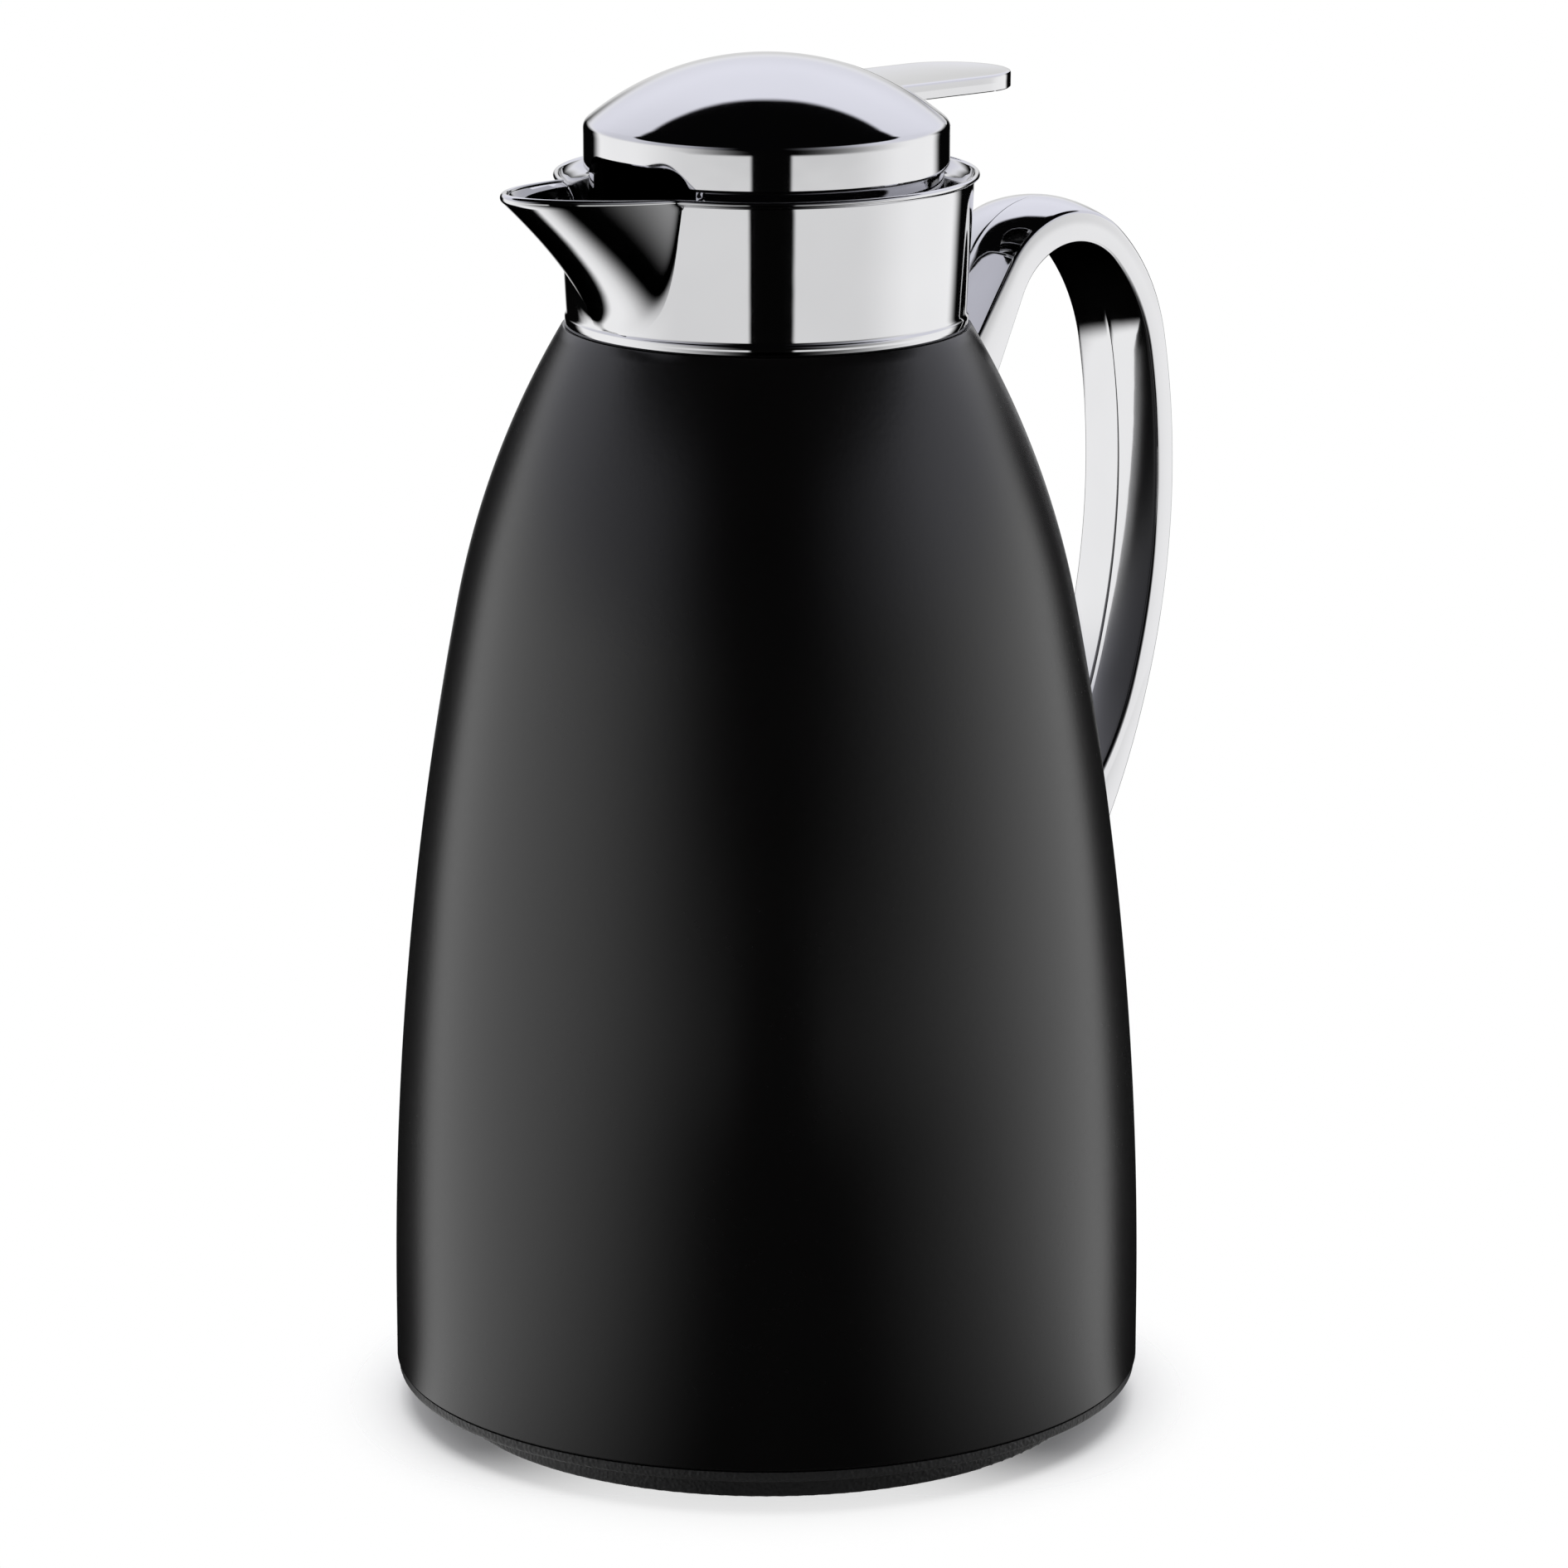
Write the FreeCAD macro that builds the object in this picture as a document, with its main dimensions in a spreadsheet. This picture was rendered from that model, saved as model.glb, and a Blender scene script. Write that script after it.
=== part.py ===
import FreeCAD, Part
import Sketcher
import math
import os

# Thermal jug: +Z up, origin on the jug's axis at the table, spout towards -X, handle towards +X.
# Driving dimensions, in millimetres.
SIZES = {
    # Clearances shared by the fits
    "fit_clearance": 0.05,
    "lid_clearance": 0.3,
    "cut_overrun": 2.0,
    # Bell-shaped casing
    "casing_foot_radius": 72.0,
    "casing_foot_height": 8.7,
    "casing_belly_rise": 11.3,
    "casing_shoulder_radius": 58.6,
    "casing_shoulder_rise": 138.4,
    "casing_top_radius": 38.5,
    "casing_top_rise": 52.6,
    "casing_wall": 1.2,
    "casing_lip_wall": 1.35,
    # Ring that closes the casing below
    "base_band_inset": 0.4,
    "base_band_height": 2.1,
    "base_seam": 0.3,
    "base_round": 1.0,
    "base_wall": 2.0,
    "base_plug_height": 11.5,
    "base_web": 2.6,
    "base_socket_inset": 11.0,
    "base_socket_wall": 2.0,
    "base_socket_height": 7.0,
    # Ring that the jug stands on
    "foot_inset": 10.0,
    "foot_width": 7.0,
    "foot_groove_depth": 1.2,
    "foot_round": 0.8,
    # Service cap in the base
    "cap_flange_width": 6.0,
    "cap_flange": 2.5,
    "cap_plug_height": 8.0,
    "cap_plug_wall": 2.5,
    "cap_slot_length": 34.0,
    "cap_slot_width": 4.0,
    "cap_slot_depth": 1.2,
    # Vacuum flask
    "flask_bottom_height": 22.0,
    "flask_gap": 2.6,
    "flask_flat_radius": 20.0,
    "flask_shoulder_drop": 18.4,
    "flask_neck_inset": 6.6,
    "flask_neck_drop": 15.0,
    "flask_rim_drop": 3.5,
    "flask_glass": 1.6,
    "flask_vacuum": 3.2,
    "flask_tip_height": 7.0,
    "flask_tip_radius": 3.5,
    # Cushion below the flask
    "cushion_inner_radius": 8.0,
    "cushion_inset": 10.0,
    # Seal and threaded insert at the neck
    "neck_seal_height": 2.0,
    "neck_seal_width": 5.3,
    "insert_throat_step": 5.0,
    "insert_ledge": 2.5,
    "insert_bore_inset": 7.6,
    "insert_wall": 2.2,
    "insert_shoulder_height": 8.0,
    "insert_skirt_depth": 10.5,
    "insert_skirt_clearance": 0.4,
    # Coarse two-start thread
    "thread_lead": 12.0,
    "thread_start": 0.5,
    "thread_rib_height": 1.8,
    "thread_rib_depth": 1.6,
    "thread_rib_rise": 9.0,
    "thread_lug_rise": 1.33,
    "thread_root": 0.5,
    "thread_gap": 0.4,
    # Collar
    "collar_foot_bead": 2.2,
    "collar_foot_inset": 0.5,
    "collar_waist_inset": 0.9,
    "collar_mouth_flare": 1.2,
    "collar_wall": 1.6,
    "collar_flare_height": 3.0,
    "rim_overhang": 1.1,
    "rim_rise": 28.6,
    "rim_roll": 0.9,
    "trough_floor_rise": 15.0,
    "trough_floor": 2.0,
    "trough_width": 5.3,
    "collar_spigot_depth": 6.0,
    "collar_snap": 1.1,
    # Spout
    "spout_foot_rise": 3.6,
    "spout_overhang": 22.6,
    "spout_lip_rise": 1.4,
    "spout_half_width": 18.4,
    "spout_root_inset": 4.1,
    "spout_wall": 1.8,
    # Handle
    "handle_overhang": 39.4,
    "handle_drop": 133.5,
    "handle_top_rise": 15.4,
    "handle_width": 21.0,
    "handle_edge_round": 1.0,
    "handle_seat_clearance": 0.05,
    # Handle screws
    "handle_screw_radius": 1.45,
    "handle_screw_head_radius": 2.8,
    "handle_screw_head": 1.8,
    "handle_screw_grip": 6.0,
    "handle_screw_spread": 5.0,
    "handle_screw_upper_drop": 10.5,
    "handle_screw_lower_rise": 17.5,
    "handle_screw_play": 0.2,
    # Lid dome and skirt
    "lid_inset": 3.3,
    "lid_dome_rise": 12.6,
    "lid_edge_rise": 8.3,
    "lid_corner_width": 0.7,
    "lid_corner_rise": 0.6,
    "lid_corner_drop": 0.9,
    "lid_skirt_rise": 1.2,
    "lid_wall": 1.8,
    "lid_seam_reach": 15.6,
    "lid_seam_swell": 1.0,
    "lid_notch_drop": 2.3,
    # Pour arch in the skirt and the drum
    "arch_half_width": 14.6,
    "arch_rise": 3.5,
    "arch_round": 5.0,
    # Screw plug below the lid
    "drum_inset": 1.3,
    "drum_floor_rise": 4.0,
    "drum_floor": 2.0,
    "drum_wall": 1.8,
    "plug_gap": 2.0,
    "plug_wall": 6.0,
    "plug_nose_inset": 4.0,
    "plug_nose_depth": 9.0,
    "plug_floor": 2.0,
    "plug_inlet_radius": 9.0,
    "gasket_height": 2.0,
    # Deck over the drum, with the stem's guide and the lever's ears
    "deck_height": 1.2,
    "deck_drop": 3.4,
    "guide_radius": 5.0,
    "guide_drop": 4.7,
    "guide_rise": 0.7,
    "ear_inner": 9.8,
    "ear_outer": 12.3,
    "ear_radius": 1.9,
    # Lever
    "pivot_inset": 8.3,
    "pivot_rise": 2.5,
    "pin_radius": 1.45,
    "lever_seam_gap": 0.3,
    "lever_seam_drop": 0.7,
    "paddle_overhang": 24.3,
    "paddle_root_inset": 14.3,
    "paddle_half_width": 12.4,
    "paddle_drop": 6.9,
    "paddle_thickness": 3.2,
    "hub_radius": 2.2,
    "hub_half_width": 9.5,
    "fork_half_width": 5.9,
    "fork_gap": 3.4,
    "fork_height": 2.6,
    "fork_slot_reach": 18.0,
    # Valve
    "stem_radius": 2.2,
    "stem_spigot_radius": 1.5,
    "stem_top_clearance": 0.5,
    "stem_head_radius": 7.0,
    "stem_head_height": 2.0,
    "stem_head_gap": 0.2,
    "plunger_radius": 12.0,
    "plunger_height": 4.0,
    "valve_seal_height": 2.0,
    "valve_seal_inset": 0.5,
    # Spring round the stem
    "spring_radius": 4.2,
    "spring_wire_radius": 0.45,
    "spring_pitch": 4.0,
}

# Heights and radii that follow from the sizes, as formulas of the sheet
DERIVED = {
    "casing_belly_height": "=casing_foot_height + casing_belly_rise",
    "casing_shoulder_height": "=casing_belly_height + casing_shoulder_rise",
    "casing_top_height": "=casing_shoulder_height + casing_top_rise",
    "collar_foot_radius": "=casing_top_radius - collar_foot_inset",
    "collar_waist_radius": "=casing_top_radius - collar_waist_inset",
    "collar_mouth_radius": "=collar_waist_radius + collar_mouth_flare",
    "rim_radius": "=collar_mouth_radius + rim_overhang",
    "trough_inner_radius": "=collar_waist_radius - trough_width",
    "spout_root_radius": "=collar_waist_radius - spout_root_inset",
    "flask_neck_radius": "=collar_waist_radius - flask_neck_inset",
    "insert_bore_radius": "=collar_waist_radius - insert_bore_inset",
    "insert_throat_radius": "=insert_bore_radius - insert_throat_step",
    "plug_radius": "=insert_bore_radius - plug_gap",
    "plug_bore_radius": "=plug_radius - plug_wall",
    "plug_nose_radius": "=plug_radius - plug_nose_inset",
    "lid_radius": "=collar_waist_radius - lid_inset",
    "lid_seam_centre": "=lid_radius + lid_seam_reach",
    "lid_seam_radius": "=lid_radius + lid_seam_swell",
    "drum_radius": "=lid_radius - drum_inset",
    "pivot_reach": "=lid_radius - pivot_inset",
    "paddle_reach": "=lid_radius + paddle_overhang",
    "paddle_root": "=lid_radius - paddle_root_inset",
    "foot_outer_radius": "=casing_foot_radius - foot_inset",
    "foot_inner_radius": "=foot_outer_radius - foot_width",
    "base_socket_radius": "=foot_inner_radius - base_socket_inset",
    "cap_flange_radius": "=base_socket_radius + cap_flange_width",
    "cushion_outer_radius": "=base_socket_radius - cushion_inset",
    "flask_radius": "=casing_shoulder_radius - flask_gap",
    "flask_shoulder_height": "=casing_shoulder_height - flask_shoulder_drop",
    "flask_neck_height": "=casing_top_height - flask_neck_drop",
    "flask_rim_height": "=casing_top_height - flask_rim_drop",
    "rim_height": "=casing_top_height + rim_rise",
    "trough_floor_height": "=casing_top_height + trough_floor_rise",
    "spout_foot_height": "=casing_top_height + spout_foot_rise",
    "spout_lip_height": "=rim_height + spout_lip_rise",
    "spout_reach": "=rim_radius + spout_overhang",
    "handle_reach": "=casing_shoulder_radius + handle_overhang",
    "handle_low_height": "=casing_top_height - handle_drop",
    "handle_top_height": "=casing_top_height + handle_top_rise",
    "handle_screw_upper_height": "=casing_top_height - handle_screw_upper_drop",
    "handle_screw_lower_height": "=handle_low_height + handle_screw_lower_rise",
    "lid_skirt_height": "=rim_height + lid_skirt_rise",
    "lid_edge_height": "=lid_skirt_height + lid_edge_rise",
    "lid_apex_height": "=lid_edge_height + lid_dome_rise",
    "lid_notch_height": "=lid_edge_height - lid_notch_drop",
    "arch_height": "=lid_skirt_height + arch_rise",
    "drum_floor_height": "=trough_floor_height + drum_floor_rise",
    "deck_top_height": "=lid_edge_height - deck_drop",
    "pivot_height": "=deck_top_height + pivot_rise",
    "lever_seam_height": "=lid_edge_height - lever_seam_drop",
    "paddle_top_height": "=lid_apex_height - paddle_drop",
}

# Bends as the tangent of a quarter of the turned angle, and outlines as shares
QUARTER_TURN_SHARE = math.tan(math.radians(90) / 4)
CASING_BELLY_SHARE = 0.0485
CASING_SHOULDER_SHARE = 0.0857
RIM_FLARE_SHARE = -0.15
LID_CORNER_SHARE = 0.21
SPOUT_SWELL_SHARE = 0.27
SPOUT_SECTION_SHARES = (0.04, 0.19, 0.53, 1.0)
CHANNEL_SECTION_SHARES = (0.7, 1.0)

# Handle outline: shares of its reach and of its rise, the bend of the stretch that ends there,
# and whether the next stretch carries on in the same direction
HANDLE_OUTLINE_SHARES = (
    (0.300, 0.810, 0, False),
    (0.409, 0.810, 0, False),
    (0.547, 0.944, 0, True),
    (0.842, 0.968, -0.4552, True),
    (0.969, 0.821, -0.1612, True),
    (0.657, 0.000, -0.2243, False),
    (0.500, 0.000, 0, False),
    (0.500, 0.130, 0, False),
    (0.626, 0.130, 0, False),
    (0.887, 0.357, 0.1768, True),
    (0.926, 0.798, 0.1217, True),
    (0.829, 0.924, 0.1425, True),
    (0.579, 0.898, 0.5327, True),
    (0.454, 0.719, 0, False),
    (0.300, 0.719, 0, False),
)


class Size:
    """A number together with the sheet expression that gives it."""

    def __init__(self, number, text):
        self.number = float(number)
        self.text = text

    def joined(self, sign, other, number):
        return Size(number, "(%s %s %s)" % (self.text, sign, other.text))

    def __add__(self, other):
        other = as_size(other)
        return self.joined("+", other, self.number + other.number)

    def __sub__(self, other):
        other = as_size(other)
        return self.joined("-", other, self.number - other.number)

    def __mul__(self, other):
        other = as_size(other)
        return self.joined("*", other, self.number * other.number)

    def __truediv__(self, other):
        other = as_size(other)
        return self.joined("/", other, self.number / other.number)

    def __radd__(self, other):
        return as_size(other) + self

    def __rsub__(self, other):
        return as_size(other) - self

    def __rmul__(self, other):
        return as_size(other) * self

    def __neg__(self):
        return Size(-self.number, "(0 - %s)" % self.text)

    def root(self):
        return Size(math.sqrt(self.number), "sqrt(%s)" % self.text)


def as_size(value):
    return value if isinstance(value, Size) else Size(value, repr(value))


class Sheet:
    """The document's spreadsheet, whose cells are read as sizes by their alias."""

    def __init__(self, document, values):
        self.cells = document.addObject("Spreadsheet::Sheet", "Sizes")
        for row, (name, value) in enumerate(values.items(), start=1):
            self.cells.set("A%d" % row, name)
            self.cells.set("B%d" % row, str(value))
            self.cells.setAlias("B%d" % row, name)
        document.recompute()

    def __getattr__(self, name):
        return Size(self.cells.get(name), "Sizes." + name)


doc = FreeCAD.newDocument("thermal_jug")
jug = Sheet(doc, {**SIZES, **DERIVED})
pieces = []


# Sketches
def new_sketch(body, name, plane, lift=None):
    sketch = body.newObject("Sketcher::SketchObject", name)
    support = [part for part in body.Origin.OriginFeatures if part.Role == plane][0]
    sketch.AttachmentSupport = [(support, "")]
    sketch.MapMode = "FlatFace"
    if lift is not None:
        sketch.setExpression("AttachmentOffset.Base.z", lift.text)
    return sketch


def bind(sketch, constraint, text):
    index = sketch.addConstraint(constraint)
    sketch.setExpression("Constraints[%d]" % index, text)


def place_point(sketch, curve, end, across, up):
    """Holds one end of a curve at two sizes from the sketch's origin."""
    for kind, axis, value in (("DistanceX", -2, across), ("DistanceY", -1, up)):
        value = as_size(value)
        if value.number == 0:
            sketch.addConstraint(Sketcher.Constraint("PointOnObject", curve, end, axis))
        else:
            bind(sketch, Sketcher.Constraint(kind, -1, 1, curve, end, value.number), value.text)


def bend_radius(start, end, bend):
    """Radius of an arc from its ends and its bend, which is a share or already a radius."""
    if isinstance(bend, Size):
        return bend
    width = as_size(end[0]) - start[0]
    height = as_size(end[1]) - start[1]
    return (width * width + height * height).root() * ((1 + bend * bend) / (4 * bend))


def arc_middle(start, end, radius, leftward):
    """Middle of the lesser arc between two points, and its centre."""
    chord = end - start
    middle = (start + end) * 0.5
    aside = FreeCAD.Vector(-chord.y, chord.x, 0).normalize()
    if not leftward:
        aside = aside * -1
    depth = math.sqrt(max(radius * radius - (chord.Length / 2) ** 2, 0))
    centre = middle + aside * depth
    return centre - aside * radius, centre


def outline(body, name, plane, corners, lift=None, smooth=()):
    """Closed outline; a corner's third value bends the stretch that ends there, leftwards if positive.

    At smooth corners the two stretches share a direction, which then sets the bends between them."""
    sketch = new_sketch(body, name, plane, lift)
    points = [FreeCAD.Vector(as_size(c[0]).number, as_size(c[1]).number, 0) for c in corners]
    stretches = []
    for index, corner in enumerate(corners):
        start, end = points[index - 1], points[index]
        bend = corner[2] if len(corner) > 2 else 0
        if as_size(bend).number == 0:
            stretches.append((sketch.addGeometry(Part.LineSegment(start, end), False), 1, 2))
            continue
        leftward = as_size(bend).number > 0
        radius = bend_radius(corners[index - 1], corner, bend if leftward else -bend)
        middle = arc_middle(start, end, radius.number, leftward)[0]
        curve = sketch.addGeometry(Part.Arc(start, middle, end), False)
        stretches.append((curve, 1, 2) if leftward else (curve, 2, 1))
        if not smooth:
            bind(sketch, Sketcher.Constraint("Radius", curve, radius.number), radius.text)
    for index, (curve, first, last) in enumerate(stretches):
        before = stretches[index - 1]
        carried = smooth and smooth[index - 1]
        joint = "Tangent" if carried else "Coincident"
        sketch.addConstraint(Sketcher.Constraint(joint, before[0], before[2], curve, first))
        place_point(sketch, curve, first, corners[index - 1][0], corners[index - 1][1])
    return sketch


def circles(body, name, plane, rings, lift=None):
    """Circles given as (across, up, radius)."""
    sketch = new_sketch(body, name, plane, lift)
    for across, up, radius in rings:
        centre = FreeCAD.Vector(as_size(across).number, as_size(up).number, 0)
        curve = sketch.addGeometry(Part.Circle(centre, FreeCAD.Vector(0, 0, 1), radius.number), False)
        place_point(sketch, curve, 3, across, up)
        bind(sketch, Sketcher.Constraint("Radius", curve, radius.number), radius.text)
    return sketch


# Features
def new_body(name):
    return doc.addObject("PartDesign::Body", name)


def turned(body, sketch):
    feature = body.newObject("PartDesign::Revolution", sketch.Name + "_revolution")
    feature.Profile = sketch
    feature.ReferenceAxis = (sketch, ["V_Axis"])
    feature.Angle = 360
    doc.recompute()
    return feature


def lathe(name, corners, plane="XZ_Plane"):
    """A body turned round the jug's axis from an outline of (radius, height) corners."""
    body = new_body(name)
    turned(body, outline(body, name + "_outline", plane, corners))
    return body


def raised(body, sketch, length, side="One side", flipped=False, kind="Pad"):
    feature = body.newObject("PartDesign::" + kind, sketch.Name + "_" + kind.lower())
    feature.Profile = sketch
    feature.SideType = side
    feature.Reversed = flipped
    feature.setExpression("Length", length.text)
    doc.recompute()
    return feature


def cut_away(body, sketch, length, side="One side", flipped=False):
    before = body.Shape.Volume
    feature = raised(body, sketch, length, side, flipped, "Pocket")
    if body.Shape.Volume >= before:
        raise RuntimeError("nothing was cut by " + feature.Name)
    return feature


def helix_rib(body, sketch, lead, rise, starts):
    """A rib wound round the axis, repeated for each start of the thread."""
    rib = body.newObject("PartDesign::AdditiveHelix", sketch.Name + "_helix")
    rib.Profile = sketch
    rib.ReferenceAxis = (sketch, ["V_Axis"])
    rib.Mode = "pitch-height-angle"
    rib.setExpression("Pitch", lead.text)
    rib.setExpression("Height", rise.text)
    doc.recompute()
    around = body.newObject("PartDesign::PolarPattern", sketch.Name + "_starts")
    around.Originals = [rib]
    around.Axis = (sketch, ["V_Axis"])
    around.Angle = 360
    around.Occurrences = starts
    body.Tip = around
    doc.recompute()
    return around


def boolean(kind, name, base, tool):
    result = doc.addObject("Part::" + kind, name)
    result.Base = base
    result.Tool = tool
    doc.recompute()
    return result


def joined(name, shapes):
    result = doc.addObject("Part::MultiFuse", name)
    result.Shapes = shapes
    doc.recompute()
    return result


def solid(name, shape):
    result = doc.addObject("Part::Feature", name)
    result.Shape = shape
    return result


def finish(piece, node):
    """Names a finished piece after its node and keeps it for writing."""
    piece.Label = node
    pieces.append(piece)
    return piece


# Casing
def casing_corners(inset):
    """The casing's outside from foot to top, moved inwards by an inset."""
    return [
        (jug.casing_foot_radius - inset, jug.casing_foot_height),
        (jug.casing_foot_radius - inset, jug.casing_belly_height),
        (jug.casing_shoulder_radius - inset, jug.casing_shoulder_height, CASING_BELLY_SHARE),
        (jug.casing_top_radius - inset, jug.casing_top_height, CASING_SHOULDER_SHARE),
    ]


def casing_radius(height):
    """Outer radius of the casing at a height above its belly line."""
    corners = casing_corners(0)
    above = height > jug.casing_shoulder_height.number
    start, end = (corners[2], corners[3]) if above else (corners[1], corners[2])
    radius = bend_radius(start, end, end[2]).number
    ends = [FreeCAD.Vector(c[0].number, c[1].number, 0) for c in (start, end)]
    centre = arc_middle(ends[0], ends[1], radius, True)[1]
    return centre.x + math.sqrt(radius ** 2 - (height - centre.y) ** 2)


def handle_screw_places():
    """Side offset and height of the four screws that hold the handle."""
    for height in (jug.handle_screw_lower_height, jug.handle_screw_upper_height):
        for side in (-jug.handle_screw_spread, jug.handle_screw_spread):
            yield side, height


def outer_casing():
    outer = casing_corners(0)
    inner = casing_corners(jug.casing_wall)
    lip = (jug.casing_top_radius - jug.casing_lip_wall, jug.casing_top_height)
    inside = [
        lip,
        (inner[2][0], inner[2][1], -CASING_SHOULDER_SHARE),
        (inner[1][0], inner[1][1], -CASING_BELLY_SHARE),
        inner[0],
    ]
    body = lathe("casing", outer + inside)
    hole = jug.handle_screw_radius + jug.fit_clearance
    holes = [(side, height, hole) for side, height in handle_screw_places()]
    cut_away(body, circles(body, "casing_holes", "YZ_Plane", holes), jug.handle_reach, flipped=True)
    return finish(body, "outer_casing")


# Base
base_band_radius = jug.casing_foot_radius - jug.base_band_inset
base_band_top = jug.casing_foot_height - jug.base_seam
base_bottom = base_band_top - jug.base_band_height
base_plug_radius = jug.casing_foot_radius - jug.casing_wall - jug.fit_clearance
foot_groove_top = base_bottom + jug.foot_groove_depth
cap_plate_top = base_bottom


def base_ring():
    web_top = base_bottom + jug.base_web
    plug_top = base_band_top + jug.base_plug_height
    socket_outer = jug.base_socket_radius + jug.base_socket_wall
    socket_top = web_top + jug.base_socket_height
    groove_inner = jug.foot_inner_radius - jug.fit_clearance
    groove_outer = jug.foot_outer_radius + jug.fit_clearance
    body = lathe("base_ring_turned", [
        (base_band_radius - jug.base_round, base_bottom),
        (base_band_radius, base_bottom + jug.base_round, QUARTER_TURN_SHARE),
        (base_band_radius, base_band_top),
        (base_plug_radius, base_band_top),
        (base_plug_radius, plug_top),
        (base_plug_radius - jug.base_wall, plug_top),
        (base_plug_radius - jug.base_wall, web_top),
        (socket_outer, web_top),
        (socket_outer, socket_top),
        (jug.base_socket_radius, socket_top),
        (jug.base_socket_radius, base_bottom),
        (groove_inner, base_bottom),
        (groove_inner, foot_groove_top),
        (groove_outer, foot_groove_top),
        (groove_outer, base_bottom),
    ])
    return finish(body, "base_ring")


def foot_ring():
    body = lathe("foot_ring_turned", [
        (jug.foot_inner_radius, 0),
        (jug.foot_outer_radius - jug.foot_round, 0),
        (jug.foot_outer_radius, jug.foot_round, QUARTER_TURN_SHARE),
        (jug.foot_outer_radius, foot_groove_top),
        (jug.foot_inner_radius, foot_groove_top),
    ])
    return finish(body, "foot_ring")


def base_screw_cap():
    plug_radius = jug.base_socket_radius - jug.fit_clearance
    plug_top = cap_plate_top + jug.cap_plug_height
    bottom = cap_plate_top - jug.cap_flange
    body = lathe("base_cap_turned", [
        (0, bottom),
        (jug.cap_flange_radius, bottom),
        (jug.cap_flange_radius, cap_plate_top),
        (plug_radius, cap_plate_top),
        (plug_radius, plug_top),
        (plug_radius - jug.cap_plug_wall, plug_top),
        (plug_radius - jug.cap_plug_wall, cap_plate_top),
        (0, cap_plate_top),
    ])
    half_length = jug.cap_slot_length / 2
    half_width = jug.cap_slot_width / 2
    slot = outline(body, "cap_slot", "XY_Plane", [
        (-half_length, -half_width),
        (half_length, -half_width),
        (half_length, half_width),
        (-half_length, half_width),
    ], bottom + jug.cap_slot_depth)
    cut_away(body, slot, jug.cap_slot_depth)
    return finish(body, "base_screw_cap")


# Vacuum flask
def flask_profile(inset, rim_height):
    """One glass surface of the flask, from the axis below to its rim."""
    side = jug.flask_radius - inset
    neck = jug.flask_neck_radius - inset
    drop = jug.flask_radius - jug.flask_neck_radius
    rise = jug.flask_neck_height - jug.flask_shoulder_height
    shoulder = (rise * rise + drop * drop) / (2 * drop)
    corner = jug.flask_radius - jug.flask_flat_radius
    bottom = jug.flask_bottom_height + inset
    reach = neck - jug.flask_radius + shoulder
    inner_shoulder = shoulder - inset
    neck_foot = jug.flask_shoulder_height + (inner_shoulder * inner_shoulder - reach * reach).root()
    return [
        (0, bottom),
        (jug.flask_flat_radius, bottom),
        (side, jug.flask_bottom_height + corner, QUARTER_TURN_SHARE),
        (side, jug.flask_shoulder_height),
        (neck, neck_foot, inner_shoulder),
        (neck, rim_height),
    ]


def reversed_profile(corners):
    """The same stretches walked the other way."""
    back = []
    bend = 0
    for corner in reversed(corners):
        back.append((corner[0], corner[1], -bend))
        bend = corner[2] if len(corner) > 2 else 0
    return back


flask_under_rim = jug.flask_rim_height - jug.flask_glass


def flask_liner():
    """The inner bulb, with the rim that it is fused to the outer bulb by."""
    walls = 2 * jug.flask_glass + jug.flask_vacuum
    outside = flask_profile(walls - jug.flask_glass, flask_under_rim)
    rim = [(jug.flask_neck_radius, flask_under_rim), (jug.flask_neck_radius, jug.flask_rim_height)]
    inside = flask_profile(walls, jug.flask_rim_height)
    body = lathe("flask_liner_turned", outside + rim + reversed_profile(inside))
    return finish(body, "flask_liner")


def flask_jacket():
    """The outer bulb, with the tip that it was pumped out through."""
    outside = flask_profile(0, flask_under_rim)
    inside = flask_profile(jug.flask_glass, flask_under_rim)
    body = lathe("flask_jacket_turned", outside + reversed_profile(inside))
    tip = outline(body, "flask_tip", "XZ_Plane", [
        (0, jug.flask_bottom_height - jug.flask_tip_height),
        (jug.flask_tip_radius, jug.flask_bottom_height),
        (0, jug.flask_bottom_height + jug.flask_glass / 2),
    ])
    turned(body, tip)
    return finish(body, "flask_jacket")


def flask_cushion():
    corner = jug.flask_radius - jug.flask_flat_radius
    over = jug.cushion_outer_radius - jug.flask_flat_radius
    bed = corner + jug.fit_clearance
    top = jug.flask_bottom_height - jug.fit_clearance
    lip_top = jug.flask_bottom_height + corner - (bed * bed - over * over).root()
    body = lathe("cushion_turned", [
        (jug.cushion_inner_radius, cap_plate_top),
        (jug.cushion_outer_radius, cap_plate_top),
        (jug.cushion_outer_radius, lip_top),
        (jug.flask_flat_radius, top, -bed),
        (jug.cushion_inner_radius, top),
    ])
    return finish(body, "flask_cushion")


# Neck
insert_bottom = jug.flask_rim_height + jug.neck_seal_height
ledge_height = insert_bottom + jug.insert_ledge
insert_outer_radius = jug.insert_bore_radius + jug.insert_wall
insert_top = jug.trough_floor_height
flange_bottom = jug.trough_floor_height - jug.trough_floor
collar_inner_radius = jug.collar_waist_radius - jug.collar_wall
plug_shoulder = ledge_height + jug.gasket_height
rib_start = plug_shoulder + jug.thread_start


def neck_seal():
    outer = jug.flask_neck_radius - jug.fit_clearance
    body = lathe("neck_seal_turned", [
        (outer - jug.neck_seal_width, jug.flask_rim_height),
        (outer, jug.flask_rim_height),
        (outer, insert_bottom),
        (outer - jug.neck_seal_width, insert_bottom),
    ])
    return finish(body, "neck_seal")


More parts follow.
